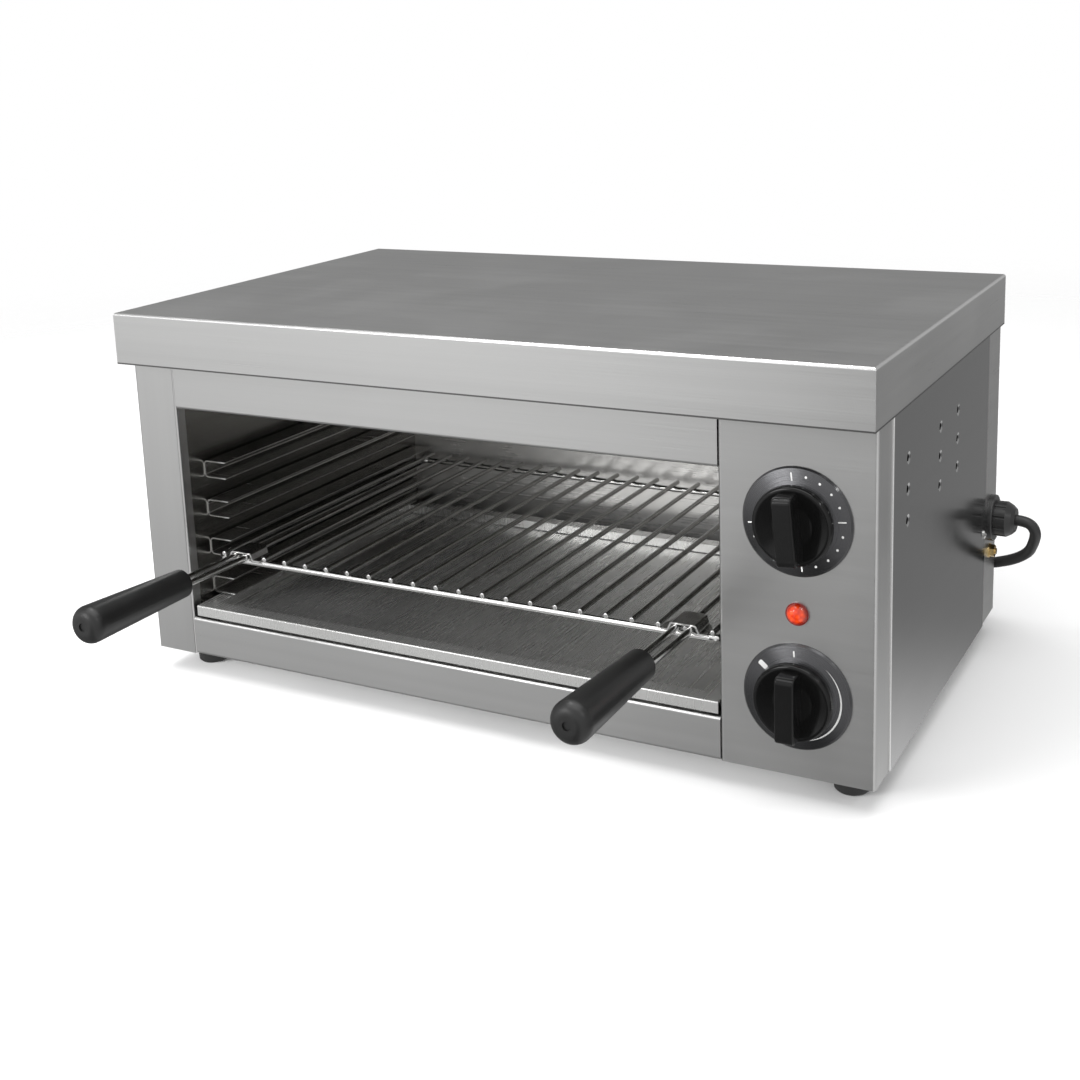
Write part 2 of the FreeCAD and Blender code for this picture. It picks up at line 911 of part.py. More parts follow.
def knob(z, lean):
    """Knob flared from its foot to a rounded rim, with a dished face, a tall bar across it and
    a hollow back.

    lean turns it anticlockwise, in degrees.
    """
    y = knob_base()
    face = knob_wall
    profile = [
        (0, 0),
        (knob_foot, 0),
        (knob_radius, knob_flank),
        (knob_radius, face),
        (knob_radius - knob_rim, face),
        (knob_radius / 2, face - knob_dish),
        (0, face - knob_dish),
    ]
    cup = turned(profile, V(control_x, y, z), FRONT)
    rim = [
        e for e in cup.Edges
        if e.CenterOfMass.y < y - knob_flank and e.Length > 2 * math.pi * (knob_radius - knob_rim / 2)
    ]
    cup = cup.makeFillet(knob_round, rim)
    bar = box(
        control_x - grip_width / 2, control_x + grip_width / 2,
        y - face - grip_height, y - face + knob_dish + overrun,
        z - grip_reach, z + grip_reach,
    )
    bar_ends = edges_along(bar, RIGHT, lambda c: c.y < y - face)
    bar = bar.makeFillet(grip_end_round, bar_ends)
    crown = edges_along(bar, UP, lambda c: c.y < y - face - grip_height / 2)
    bar = bar.makeFillet(grip_top_round, crown)
    solid = joined(cup, [bar])
    ring_outer = knob_foot - 2 * knob_dish
    hollow_depth = face - 2 * knob_dish
    hollow = rod(V(control_x, y + overrun, z), FRONT, ring_outer, hollow_depth + overrun)
    hub = rod(V(control_x, y, z), FRONT, knob_hub, hollow_depth)
    bore = rod(V(control_x, y + overrun, z), FRONT, shaft_radius, shaft_in_knob + overrun)
    solid = solid.cut(hollow.cut(hub)).cut(bore)
    solid.rotate(V(control_x, y, z), FRONT, lean)
    return solid


def control_screws():
    """Two screws through each dial and the panel into the control."""
    screws = []
    for z in (timer_z, heat_z):
        for x in (control_x - control_screw_spread / 2, control_x + control_screw_spread / 2):
            head_y = fascia - dial_plate
            shank = rod(V(x, head_y - overrun / 2, z), REAR, control_screw, control_screw_length)
            head = rod(V(x, head_y, z), FRONT, control_screw_head, knob_gap + control_screw_rise)
            screws.append(joined(shank, [head]))
    return screws


def pilot_lens():
    """Domed lens with a flat rim on the panel."""
    rim = rod(V(control_x, fascia, lamp_z), FRONT, lamp_radius, lamp_rim)
    bowl = lamp_radius - overrun / 2
    ball_radius = (bowl ** 2 + lamp_dome ** 2) / (2 * lamp_dome)
    centre = fascia - lamp_rim - lamp_dome + ball_radius
    ball = Part.makeSphere(ball_radius, V(control_x, centre, lamp_z))
    keep = rod(V(control_x, fascia - lamp_rim / 2, lamp_z), FRONT, bowl, lamp_dome + lamp_rim)
    stem = rod(V(control_x, fascia - lamp_rim / 2, lamp_z), REAR, lamp_tube / 2, lamp_rim + sheet)
    return joined(rim, [ball.common(keep), stem])


def pilot_holder():
    """Lamp tube through the panel with its nut behind."""
    tube_start = V(control_x, fascia, lamp_z)
    body = rod(tube_start, REAR, lamp_tube, lamp_depth)
    nut = hexagon(lamp_nut, V(control_x, fascia + sheet, lamp_z), REAR, lamp_nut_thick)
    well = rod(tube_start - REAR * overrun, REAR, lamp_tube / 2 + shaft_clear, 2 * overrun + sheet)
    return joined(body, [nut]).cut(well)


def terminal_block():
    """Three-pole block on the base pan with a screw well per wire."""
    y0 = body_back - block_back - block_length
    x0 = (right_wall + inner_side - block_width) / 2
    block = box(x0, x0 + block_width, y0, y0 + block_length, wall_bottom, wall_bottom + block_height)
    cuts = []
    pole = block_length / block_poles
    for i in range(block_poles):
        y = y0 + pole * (i + 1 / 2)
        for x in (x0 + block_width / 4, x0 + 3 * block_width / 4):
            z = wall_bottom + block_height - block_screw_deep
            cuts.append(rod(V(x, y, z), UP, block_screw, block_screw_deep + overrun))
    for i in range(1, block_poles):
        y = y0 + pole * i
        cuts.append(box(
            x0 - overrun, x0 + block_width + overrun,
            y - block_groove / 2, y + block_groove / 2,
            wall_bottom + block_height - block_groove, wall_bottom + block_height + overrun,
        ))
    return block.cut(cuts)


def internal_wiring():
    """Wires from the gland to the block, and from the block up to the two controls."""
    x = (right_wall + inner_side) / 2
    left_tab = control_x - tab_spread / 2
    right_tab = control_x + tab_spread / 2
    block_y = body_back - block_back - block_length / 2
    block_top = wall_bottom + block_height + wire / 2 + running_gap
    sheath_end = inner_side + gland_flange
    gland_end = inner_side - sheet - gland_inside - sheath_inside
    rise = gland_z - block_top
    front = fascia + sheet
    routes = [
        [
            V(gland_end, strip_mid, gland_z),
            V(x, strip_mid, gland_z),
            V(x, strip_mid, block_top + rise / 3),
            V(x, block_y + block_length / 3, block_top),
        ],
        [
            V(x, block_y, block_top),
            V(x, block_y - block_length, block_top),
            V(right_tab, front + 2 * heat_case_depth, heat_z),
            V(right_tab, front + heat_case_depth + tab_length + running_gap, heat_z),
        ],
        [
            V(x - block_width / 4, block_y - block_length / 4, block_top),
            V(x - block_width / 4, block_y - 2 * block_length, block_top),
            V(left_tab, block_y - 2 * block_length, timer_z),
            V(left_tab, timer_back() + running_gap, timer_z),
        ],
    ]
    sheath = rod(V(gland_end, strip_mid, gland_z), RIGHT, cord / 2, sheath_end - gland_end)
    wires = [sheath]
    for points in routes:
        radii = [wire_bend for corner in points[1:-1]]
        wires.append(tube(rounded_edges(points, radii), wire / 2))
    return wires


def timer_back():
    """Depth of the ends of the timer's blades."""
    return fascia + sheet + timer_case_depth + timer_drum_depth - overrun + tab_length


def gland_body():
    """Flange outside the strip and a thread through it, bored for the cord."""
    face = V(inner_side, strip_mid, gland_z)
    flange = rod(face, RIGHT, gland_flange_radius, gland_flange)
    rim = [e for e in flange.Edges if abs(e.CenterOfMass.x - face.x - gland_flange) < sheet / 2]
    flange = flange.makeFillet(gland_flange_round, rim)
    thread_start = face - RIGHT * (sheet + gland_inside)
    thread = rod(thread_start, RIGHT, gland_thread, sheet + gland_inside + overrun)
    bore = rod(
        face - RIGHT * (gland_inside + sheet + overrun), RIGHT,
        cord / 2 + gland_clear, gland_inside + sheet + gland_flange + 2 * overrun,
    )
    return joined(flange, [thread]).cut(bore)


def gland_dome_nut():
    """Ribbed nut that narrows onto the cord."""
    start = V(inner_side + gland_flange, strip_mid, gland_z)
    profile = [
        (0, 0),
        (dome_radius, 0),
        (dome_radius, dome_straight),
        ((dome_radius + dome_end_radius) / 2, (dome_straight + dome_length) / 2 + overrun),
        (dome_end_radius, dome_length),
        (0, dome_length),
    ]
    nut = turned(profile, start, RIGHT)
    grooves = []
    for i in range(dome_ribs):
        turn = 2 * math.pi * (i + 1 / 2) / dome_ribs
        reach = dome_radius + dome_rib_radius / 3
        centre = start + V(0, reach * math.cos(turn), reach * math.sin(turn))
        grooves.append(rod(centre - RIGHT * overrun, RIGHT, dome_rib_radius, dome_straight + overrun))
    bore = rod(start - RIGHT * overrun, RIGHT, cord / 2 + gland_clear, dome_length + 2 * overrun)
    return nut.cut(grooves).cut(bore)


def gland_locknut():
    """Hexagonal nut inside the strip."""
    start = V(inner_side - sheet, strip_mid, gland_z)
    nut = hexagon(locknut_radius, start, LEFT, locknut_thick)
    hole_start = start + RIGHT * overrun
    hole = rod(hole_start, LEFT, gland_thread + gland_clear, locknut_thick + 2 * overrun)
    return nut.cut(hole)


def earth_stud():
    """Stud through the strip with a washer and a nut outside."""
    face = V(inner_side, strip_mid, earth_z)
    length = earth_tail + sheet + earth_washer_thick + earth_nut + earth_proud
    stud = rod(face - RIGHT * (sheet + earth_tail), RIGHT, earth_radius, length)
    washer = rod(face, RIGHT, earth_washer_radius, earth_washer_thick)
    nut = hexagon(earth_nut_radius, face + RIGHT * earth_washer_thick, RIGHT, earth_nut)
    inner_nut = hexagon(earth_nut_radius, face - RIGHT * sheet, LEFT, earth_nut)
    return joined(stud, [washer, nut, inner_nut])


def casing_screw(place, outward):
    """Pan-head screw with a cross recess."""
    head = turned(
        [
            (0, 0),
            (screw_head_radius, 0),
            (screw_head_radius, screw_head / 2),
            (screw_head_radius / 2, screw_head),
            (0, screw_head),
        ],
        place, outward,
    )
    shank = rod(place + outward * (screw_head / 2), outward * -1, screw_shank, screw_length)
    slot = turned(
        [(0, screw_head - screw_recess), (screw_shank / 2, screw_head), (0, screw_head)],
        place, outward,
    )
    return joined(head, [shank]).cut(slot)


def body_screws():
    """All screws of the casing, and those of the two controls."""
    screws = [casing_screw(p, RIGHT) for p in side_screw_places()]
    screws += [casing_screw(p, REAR) for p in back_screw_places()]
    return group(screws + control_screws())


def foot(x, y):
    """Rubber foot with a plug that snaps into the base pan."""
    foot_top = pan_floor
    plug_top = foot_top + sheet
    profile = [
        (0, 0),
        (foot_base_radius - foot_round, 0),
        (foot_base_radius, foot_round),
        (foot_radius, foot_top),
        (foot_plug, foot_top),
        (foot_plug, plug_top),
        (foot_barb, plug_top),
        (foot_plug, plug_top + foot_barb_height),
        (0, plug_top + foot_barb_height),
    ]
    return turned(profile, V(x, y, 0), UP)


def crumb_tray():
    """Shallow tray: flat rim, recessed floor, front edge folded down to a lip."""
    rim = box(tray_left, tray_right, tray_front, tray_back, tray_top - sheet, tray_top)
    lip = box(tray_left, tray_right, tray_front, tray_front + sheet, tray_bottom, tray_top)
    pan = box(
        tray_left + tray_rim, tray_right - tray_rim,
        tray_front + tray_rim, tray_back - tray_rim,
        tray_top - tray_recess - sheet, tray_top,
    )
    low = pan_corner_edges(pan, tray_top - tray_recess - sheet)
    pan = pan.makeFillet(bend + sheet, low)
    hollow = box(
        tray_left + tray_rim + sheet, tray_right - tray_rim - sheet,
        tray_front + tray_rim + sheet, tray_back - tray_rim - sheet,
        tray_top - tray_recess, tray_top + overrun,
    )
    low = pan_corner_edges(hollow, tray_top - tray_recess)
    hollow = hollow.makeFillet(bend, low)
    body = joined(rim, [lip, pan]).cut(hollow)
    front_edge = edges_along(
        body, RIGHT,
        lambda c: abs(c.y - tray_front) < sheet / 2 and abs(c.z - tray_top) < sheet / 2,
    )
    return body.makeFillet(sheet, front_edge)


def pan_corner_edges(solid, level):
    """Edges at a level, and the upright corners."""
    low = [e for e in solid.Edges if abs(e.CenterOfMass.z - level) < Part.Precision.confusion()]
    return low + edges_along(solid, UP, lambda c: True)


def rack_frame():
    """Closed wire rectangle with bent corners that slides in the guides."""
    reach = (rack_width - frame_wire) / 2
    left, right = rack_x - reach, rack_x + reach
    points = [
        V(rack_x, rack_y, frame_z),
        V(right, rack_y, frame_z),
        V(right, rack_back, frame_z),
        V(left, rack_back, frame_z),
        V(left, rack_y, frame_z),
        V(rack_x, rack_y, frame_z),
    ]
    return tube(rounded_edges(points, [frame_corner] * 4), frame_wire / 2)


def rack_wire_places():
    """Place across the rack of each grid wire."""
    first = rack_x - wire_pitch * (wire_count - 1) / 2
    return [first + wire_pitch * i for i in range(wire_count)]


def rack_wires():
    """Grid wires laid over the frame's front and rear wires, with rounded front ends."""
    wires = []
    for x in rack_wire_places():
        start = V(x, rack_y - wire_nose, grid_z)
        length = rack_back + wire_tail - start.y
        wire_solid = rod(start, REAR, grid_wire / 2, length)
        nose = [e for e in wire_solid.Edges if abs(e.CenterOfMass.y - start.y) < sheet / 2]
        wires.append(wire_solid.makeFillet(grid_wire / 4, nose))
    return group(wires)


def handle_frame(hand):
    """Place on the front wire where a handle starts, and its direction to the grip's end."""
    start = V(rack_x + hand * handle_offset(), rack_y, rod_z)
    tilt = math.radians(handle_tilt)
    return start, V(0, -math.cos(tilt), math.sin(tilt))


def handle_offset():
    """From the rack's middle to a handle, which straddles the grid wire nearest its place."""
    target = rack_x + rack_width / 2 - handle_inset
    nearest = min(rack_wire_places(), key=lambda x: abs(x - target))
    return nearest - rack_x


def handle_rods(hand):
    """Two parallel rods welded on the front wire, running into the grip."""
    start, along = handle_frame(hand)
    length = rod_tail + handle_length() - grip_length + rod_in_grip
    rods = []
    for step in (-1, 1):
        tail = start - along * rod_tail + RIGHT * (step * rod_spacing / 2)
        rods.append(rod(tail, along, rod_wire / 2, length))
    return group(rods)


def handle_length():
    """From the front wire to the grip's outer end."""
    return (rack_y - cover_front + handle_reach) / math.cos(math.radians(handle_tilt))


def handle_grip(hand):
    """Turned grip, thicker toward its rounded outer end, with two holes for the rods."""
    start, along = handle_frame(hand)
    inner = start + along * (handle_length() - grip_length)
    nose_start = grip_length - grip_nose
    cone = turned(
        [
            (0, 0),
            (grip_inner_radius - grip_shoulder, 0),
            (grip_inner_radius, grip_shoulder),
            (grip_outer_radius, nose_start),
            (grip_outer_radius, grip_length),
            (0, grip_length),
        ],
        inner, along,
    )
    end = inner + along * grip_length
    rim = [e for e in cone.Edges if (e.CenterOfMass - end).Length < sheet / 2]
    body = cone.makeFillet(grip_nose - sheet, rim)
    cuts = [
        rod(inner + RIGHT * (s * rod_spacing / 2) - along * overrun, along,
            rod_wire / 2 + shaft_clear, rod_in_grip + overrun)
        for s in (-1, 1)
    ]
    dimple_start = end - along * grip_dimple_depth
    cuts.append(rod(dimple_start, along, grip_dimple_radius, grip_dimple_depth + overrun))
    return body.cut(cuts)


def handle_bracket(hand):
    """Stamped saddle over the rods, its wings on the front wire, rounded at the rear."""
    x = rack_x + hand * handle_offset()
    wing = frame_z + frame_wire / 2
    rise = rod_z + rod_wire / 2 + bracket_sheet / 4
    crown = bracket_crown / 2
    reach = bracket_width / 2
    outline = [
        (x - reach, wing),
        (x - crown - bracket_step, wing),
        (x - crown + bracket_step / 2, rise),
        (x + crown - bracket_step / 2, rise),
        (x + crown + bracket_step, wing),
        (x + reach, wing),
    ]
    saddle = folded(
        outline, bracket_sheet, 1, bracket_sheet / 2, "xz",
        rack_y - bracket_front, rack_y + bracket_rear,
    )
    keep_core = box(
        x - reach - overrun, x + reach + overrun,
        rack_y - bracket_front - overrun, rack_y + bracket_rear - reach,
        wing - overrun, rise + overrun + bracket_sheet,
    )
    centre = V(x, rack_y + bracket_rear - reach, wing - overrun)
    disc = rod(centre, UP, reach, rise - wing + 2 * overrun + bracket_sheet)
    saddle = saddle.common(keep_core.fuse(disc))
    holes = [
        rod(V(x + s * (reach - 2 * bracket_hole), rack_y + frame_wire, wing - overrun), UP,
            bracket_hole, bracket_sheet + 2 * overrun)
        for s in (-1, 1)
    ]
    return saddle.cut(holes)


def cord_start():
    """Point just inside the mouth of the gland's nut, where the free cord begins."""
    mouth = inner_side + gland_flange + dome_length
    return V(mouth - cord_in_nut, strip_mid, gland_z)


def coil_point(turns):
    """Point of the coil's centre line, after so many turns from its start at the front.

    Below, the coil spirals in; above, it spirals out at the same rate. It climbs in the half
    turn round the middle.
    """
    middle = coil_turns / 2
    radius = coil_radius - coil_depth / 2 + coil_pitch * abs(turns - middle)
    climb = max(0, min(1, 2 * (turns - middle) + 1 / 2))
    angle = 2 * math.pi * turns
    return V(
        coil_x - radius * math.sin(angle),
        coil_y - radius * math.cos(angle),
        coil_low + coil_pitch * climb * climb * (3 - 2 * climb),
    )


def coil_way(turns):
    """Direction of the coil's centre line, level at its start and its end."""
    if turns in (0, coil_turns):
        return V(-math.cos(2 * math.pi * turns), 0, 0)
    return (coil_point(turns + nudge_share) - coil_point(turns - nudge_share)).normalize()


def biarc(start, start_way, end, end_way):
    """Two arcs that join two points and keep both directions."""
    across = end - start
    ways = start_way + end_way
    along = across.dot(ways)
    spread = 2 * (1 - start_way.dot(end_way)) * across.dot(across)
    reach = across.dot(across) / (along + math.sqrt(along * along + spread))
    first = start + start_way * reach
    second = end - end_way * reach
    middle = (first + second) * 0.5
    return [arc_between(start, first, middle), arc_between(middle, second, end)]


def coil_edges():
    """Centre line of the coil: a straight start, the turns, and a tail that rises to the plug."""
    start = coil_point(0)
    edges = [Part.LineSegment(start + RIGHT * cord, start).toShape()]
    steps = round(coil_turns * coil_steps_per_turn)
    for i in range(steps):
        here, there = i / coil_steps_per_turn, (i + 1) / coil_steps_per_turn
        edges += biarc(coil_point(here), coil_way(here), coil_point(there), coil_way(there))
    end = coil_point(coil_turns)
    tail = V(end.x + coil_tail, end.y, plug_z)
    edges += biarc(end, RIGHT, tail, RIGHT)
    edges.append(Part.LineSegment(tail, tail + RIGHT * cord).toShape())
    return edges


def plug_start():
    """Centre of the plug's rear face."""
    end = coil_point(coil_turns)
    return V(end.x + coil_tail + cord, end.y, plug_z)


def least_gap(edges):
    """Least gap between stretches of a wound cord that are over a third of a turn apart."""
    points = Part.Wire(edges).discretize(Distance=cord / 3)
    apart = round(coil_radius * 2 / (cord / 3))
    least = math.inf
    for i in range(len(points) - apart):
        for other in points[i + apart:]:
            least = min(least, points[i].distanceToPoint(other))
    return least - cord


def cord_coil():
    """The cord's spare length, wound in two layers."""
    edges = coil_edges()
    print("coil: least gap to itself", round(least_gap(edges), 2))
    solid = tube(edges, cord / 2)
    report_tube("coil", edges, solid)
    return solid


def report_tube(name, edges, solid):
    """Prints a cord's length, and its volume over its section times its length."""
    length = Part.Wire(edges).Length
    section = math.pi * (cord / 2) ** 2
    print(name, "length", round(length, 1), "volume ratio", round(solid.Volume / section / length, 4))


def supply_cord():
    """The cord, from the gland's flange through its nut and round the rear corner to the coil."""
    start, end = cord_start(), coil_point(0) + RIGHT * cord
    in_nut = Part.LineSegment(start - RIGHT * (dome_length - cord_in_nut), start).toShape()
    points = [start, start + RIGHT * cord_first_run]
    points += [V(*place) for place in cord_route]
    points += [end + RIGHT * cord_last_run, end]
    radii = largest_radii(points)
    print("cord radii", [round(r, 1) for r in radii])
    edges = [in_nut] + rounded_edges(points, radii)
    solid = tube(edges, cord / 2)
    report_tube("cord", edges, solid)
    return solid


def cord_tie():
    """Band round the coil where its turns lie squarely on each other."""
    near = min(coil_point(t).x for t in tied_turns()) - cord / 2 - tie_gap
    far = max(coil_point(t).x for t in tied_turns()) + cord / 2 + tie_gap
    low = coil_low - cord / 2 - tie_gap
    high = coil_low + coil_pitch + cord / 2 + tie_gap
    y0, y1 = coil_y - tie_width / 2, coil_y + tie_width / 2
    inner = box(near, far, y0 - overrun, y1 + overrun, low, high)
    inner = inner.makeFillet(tie_round, edges_along(inner, REAR, lambda c: True))
    outer = box(
        near - tie_thick, far + tie_thick, y0, y1, low - tie_thick, high + tie_thick
    )
    outer = outer.makeFillet(tie_round + tie_thick, edges_along(outer, REAR, lambda c: True))
    return outer.cut(inner)


def tied_turns():
    """Turns after which the coil passes its side toward +X."""
    return [whole + 3 / 4 for whole in range(math.floor(coil_turns))]


def plug_body():
    """Round moulded plug, tapered to the cord, with a groove above and below for the earth clips."""
    shoulder = plug_neck_length + plug_taper
    length = shoulder + plug_face
    profile = [
        (0, 0),
        (plug_neck, 0),
        (plug_neck, plug_neck_length),
        ((plug_neck + plug_radius) / 2, plug_neck_length + plug_taper / 3),
        (plug_radius, shoulder),
        (plug_radius, length - plug_face_round),
        (plug_radius - plug_face_round, length),
        (0, length),
    ]
    start = plug_start()
    body = turned(profile, start, RIGHT)
    cuts = []
    for hand in (-1, 1):
        middle = start.z + hand * plug_radius
        cuts.append(box(
            start.x + shoulder, start.x + length + overrun,
            start.y - plug_slot_width / 2, start.y + plug_slot_width / 2,
            middle - plug_slot_depth, middle + plug_slot_depth,
        ))
    for pin in plug_pin_places():
        cuts.append(rod(pin, RIGHT, plug_pin / 2 + shaft_clear, plug_pin_in + overrun))
    return body.cut(cuts)


def plug_pin_places():
    """Inner ends of the two pins."""
    start = plug_start()
    x = start.x + plug_neck_length + plug_taper + plug_face - plug_pin_in
    return [V(x, start.y + s * plug_pin_spread / 2, start.z) for s in (-1, 1)]


def plug_pins():
    """Two round pins with rounded tips."""
    pins = []
    for place in plug_pin_places():
        pin = rod(place, RIGHT, plug_pin / 2, plug_pin_in + plug_pin_length)
        tip = [e for e in pin.Edges if abs(e.CenterOfMass.x - pin.BoundBox.XMax) < sheet / 2]
        pins.append(pin.makeFillet(plug_pin_round, tip))
    return group(pins)


def save_all():
    """Builds and writes every node."""
    save("top_cover", top_cover())
    save("left_side_panel", left_side_panel())
    save("right_side_panel", right_side_panel())
    save("header_panel", header_panel())
    save("control_panel", control_panel())
    save("front_sill", front_sill())
    save("back_panel", back_panel())
    save("base_pan", base_pan())
    save("chamber_left_wall", chamber_left_wall())
    save("chamber_right_wall", chamber_right_wall())
    save("chamber_back_wall", chamber_back_wall())
    save("reflector_roof", reflector_roof())
    for name, hand in (("left", -1), ("right", 1)):
        for number in range(guide_count):
            save("rack_guide_" + name + "_" + str(number + 1), rack_guide(hand, number))
        save("tray_runner_" + name, tray_runner(hand))
        save("handle_rods_" + name, handle_rods(hand))
        save("handle_grip_" + name, handle_grip(hand))
        save("handle_bracket_" + name, handle_bracket(hand))
    for name, legs in zip(("front", "rear"), element_leg_places()):
        save("heating_element_" + name, heating_element(legs))
    save("element_hangers", group([element_hanger(s) for s in hanger_shares]))
    save("timer_body", timer_body())
    save("timer_shaft", control_shaft(timer_z))
    save("timer_dial", dial_ring(timer_z))
    save("timer_knob", knob(timer_z, timer_lean))
    save("heat_control_body", heat_control_body())
    save("heat_control_shaft", control_shaft(heat_z))
    save("heat_dial", dial_ring(heat_z))
    save("heat_knob", knob(heat_z, 0))
    save("pilot_lens", pilot_lens())
    save("pilot_holder", pilot_holder())
    save("terminal_block", terminal_block())
    save("internal_wiring", group(internal_wiring()))
    save("gland_body", gland_body())
    save("gland_dome_nut", gland_dome_nut())
    save("gland_locknut", gland_locknut())
    save("earth_stud", earth_stud())
    save("body_screws", body_screws())
    for name, (x, y) in zip(("front_left", "front_right", "rear_left", "rear_right"), foot_places()):
        save("foot_" + name, foot(x, y))
    save("crumb_tray", crumb_tray())
    save("rack_frame", rack_frame())
    save("rack_wires", rack_wires())
    save("supply_cord", supply_cord())
    save("cord_coil", cord_coil())
    save("cord_tie", cord_tie())
    save("plug_body", plug_body())
    save("plug_pins", plug_pins())


save_all()
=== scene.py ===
import json
import math
import bpy
from mathutils import Matrix, Vector


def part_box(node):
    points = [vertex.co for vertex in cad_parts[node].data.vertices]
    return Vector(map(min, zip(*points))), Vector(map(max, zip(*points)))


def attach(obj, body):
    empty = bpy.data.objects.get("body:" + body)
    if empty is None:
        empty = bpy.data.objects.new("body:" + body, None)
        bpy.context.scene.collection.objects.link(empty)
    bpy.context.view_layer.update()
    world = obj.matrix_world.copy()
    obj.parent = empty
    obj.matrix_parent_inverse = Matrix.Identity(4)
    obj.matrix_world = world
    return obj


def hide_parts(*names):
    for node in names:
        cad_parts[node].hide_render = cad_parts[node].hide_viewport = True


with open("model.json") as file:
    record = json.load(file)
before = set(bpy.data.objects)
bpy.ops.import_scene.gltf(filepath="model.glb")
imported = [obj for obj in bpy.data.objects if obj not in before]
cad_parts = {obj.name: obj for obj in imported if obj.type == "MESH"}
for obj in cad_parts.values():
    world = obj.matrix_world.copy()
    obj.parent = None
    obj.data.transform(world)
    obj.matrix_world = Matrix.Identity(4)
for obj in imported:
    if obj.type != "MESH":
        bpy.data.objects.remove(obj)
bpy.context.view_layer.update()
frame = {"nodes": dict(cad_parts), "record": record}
print("frame loaded,", len(frame["nodes"]), "nodes")


# Small helpers for the pieces below

def pick(*pieces):
    bpy.ops.object.select_all(action="DESELECT")
    for piece in pieces:
        piece.select_set(True)
    bpy.context.view_layer.objects.active = pieces[0]


def settle(piece):
    # the place goes into the mesh, the object stays at the origin
    pick(piece)
    bpy.ops.object.transform_apply(location=True, rotation=True, scale=True)


def joinPieces(pieces):
    pick(*pieces)
    bpy.ops.object.join()
    return pieces[0]


# Camera, placed as the photograph was taken

camera = {
    "place": (0.5539, -0.9865, 0.5065),
    "yaw": 28.65,  # degrees to the left of straight on
    "pitch": 12.02,  # degrees downward
    "roll": -2.08,
    "lens": 50.67,
    "shift": (0.0, -0.1675),
}


def makeCamera():
    bpy.ops.object.camera_add(location=camera["place"])
    made = bpy.context.object
    made.name = "photoCamera"
    turn = Matrix.Rotation(math.radians(camera["yaw"]), 4, "Z")
    tilt = Matrix.Rotation(math.radians(90 - camera["pitch"]), 4, "X")
    roll = Matrix.Rotation(math.radians(camera["roll"]), 4, "Z")
    made.rotation_euler = (turn @ tilt @ roll).to_euler()
    made.data.lens = camera["lens"]
    made.data.shift_x, made.data.shift_y = camera["shift"]
    bpy.context.scene.camera = made


makeCamera()
print("camera placed")


# Supply cord: out of the gland, a loop, down behind the casing and into a tied coil

flex = {
    "thick": 0.009,
    "length": 1.8,
    "route": [  # from the gland's mouth to the start of the coil
        (0.3227, 0.23385, 0.1065), (0.3332, 0.23385, 0.1065), (0.3394, 0.2360, 0.0980),
        (0.3366, 0.2420, 0.0860), (0.3306, 0.2515, 0.0730), (0.3125, 0.2635, 0.0600),
        (0.2810, 0.2750, 0.0490), (0.2440, 0.2810, 0.0360), (0.2090, 0.2800, 0.0180),
        (0.1750, 0.2730, 0.0076), (0.1450, 0.2699, 0.0061), (0.1190, 0.2699, 0.0061),
    ],
    "tail": [(0.155, 0.3915, 0.0186), (0.164, 0.3915, 0.0186)],  # into the plug
    "centre": (0.1100, 0.3307),
    "radius": 0.050,
    "pitch": 0.0096,  # from one loop to the next, and from layer to layer
    "low": 0.0061,  # middle of the lower layer
    "turns": 4.5,
    "climbTurns": 0.5,  # the part of a turn in which the coil goes up one layer
    "stepsPerTurn": 16,
    "lineOrder": 3,
    "lineSteps": 10,
    "roundSteps": 5,
    "carries": ("cord_tie", "plug_body", "plug_pins", "gland_body", "gland_dome_nut"),
}


def coilPoint(turns):
    # the loops draw in to the middle of the cord's way and spiral out again one layer higher
    middle = flex["turns"] / 2
    depth = flex["pitch"] * flex["turns"] / 2
    across = flex["radius"] - depth / 2 + flex["pitch"] * abs(turns - middle)
    across /= math.cos(math.pi / flex["stepsPerTurn"])  # the line runs inside its control points
    climb = min(max((turns - middle) / flex["climbTurns"] + 1 / 2, 0), 1)
    angle = 2 * math.pi * turns
    return (
        flex["centre"][0] - across * math.sin(angle),
        flex["centre"][1] - across * math.cos(angle),
        flex["low"] + flex["pitch"] * climb * climb * (3 - 2 * climb),
    )


def makeFlex():
    steps = round(flex["turns"] * flex["stepsPerTurn"])
    coil = [coilPoint(i / flex["stepsPerTurn"]) for i in range(1, steps + 1)]
    points = flex["route"] + coil + flex["tail"]
    line = bpy.data.curves.new("supplyFlex", "CURVE")
    line.dimensions = "3D"
    spline = line.splines.new("NURBS")
    spline.points.add(len(points) - 1)
    for spot, place in zip(spline.points, points):
        spot.co = (*place, 1)
        spot.radius = flex["thick"] / 2
    spline.order_u = flex["lineOrder"]
    spline.use_endpoint_u = True
    line.resolution_u = flex["lineSteps"]
    line.bevel_depth = 1.0  # times each point's radius
    line.bevel_resolution = flex["roundSteps"]
    line.use_fill_caps = True
    piece = bpy.data.objects.new("supplyFlex", line)
    bpy.context.scene.collection.objects.link(piece)
    return piece


supplyFlex = makeFlex()
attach(supplyFlex, "casing")
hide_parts("supply_cord", "cord_coil")
print("cord laid")


# Shader helpers

mixSockets = {"FLOAT": (2, 3, 0), "VECTOR": (4, 5, 1), "RGBA": (6, 7, 2)}  # first, second, result
noiseSpan = (0.25, 0.75)  # where the values of a noise mostly lie


def fill(tree, made, values):
    # another node's output is linked, anything else is set on the socket itself
    for key, value in values.items():
        if isinstance(value, bpy.types.NodeSocket):
            tree.links.new(value, made.inputs[key])
        else:
            made.inputs[key].default_value = value


def addNode(tree, kind, inputs=None, **settings):
    made = tree.nodes.new(kind)
    for key, value in settings.items():
        setattr(made, key, value)
    fill(tree, made, inputs or {})
    return made


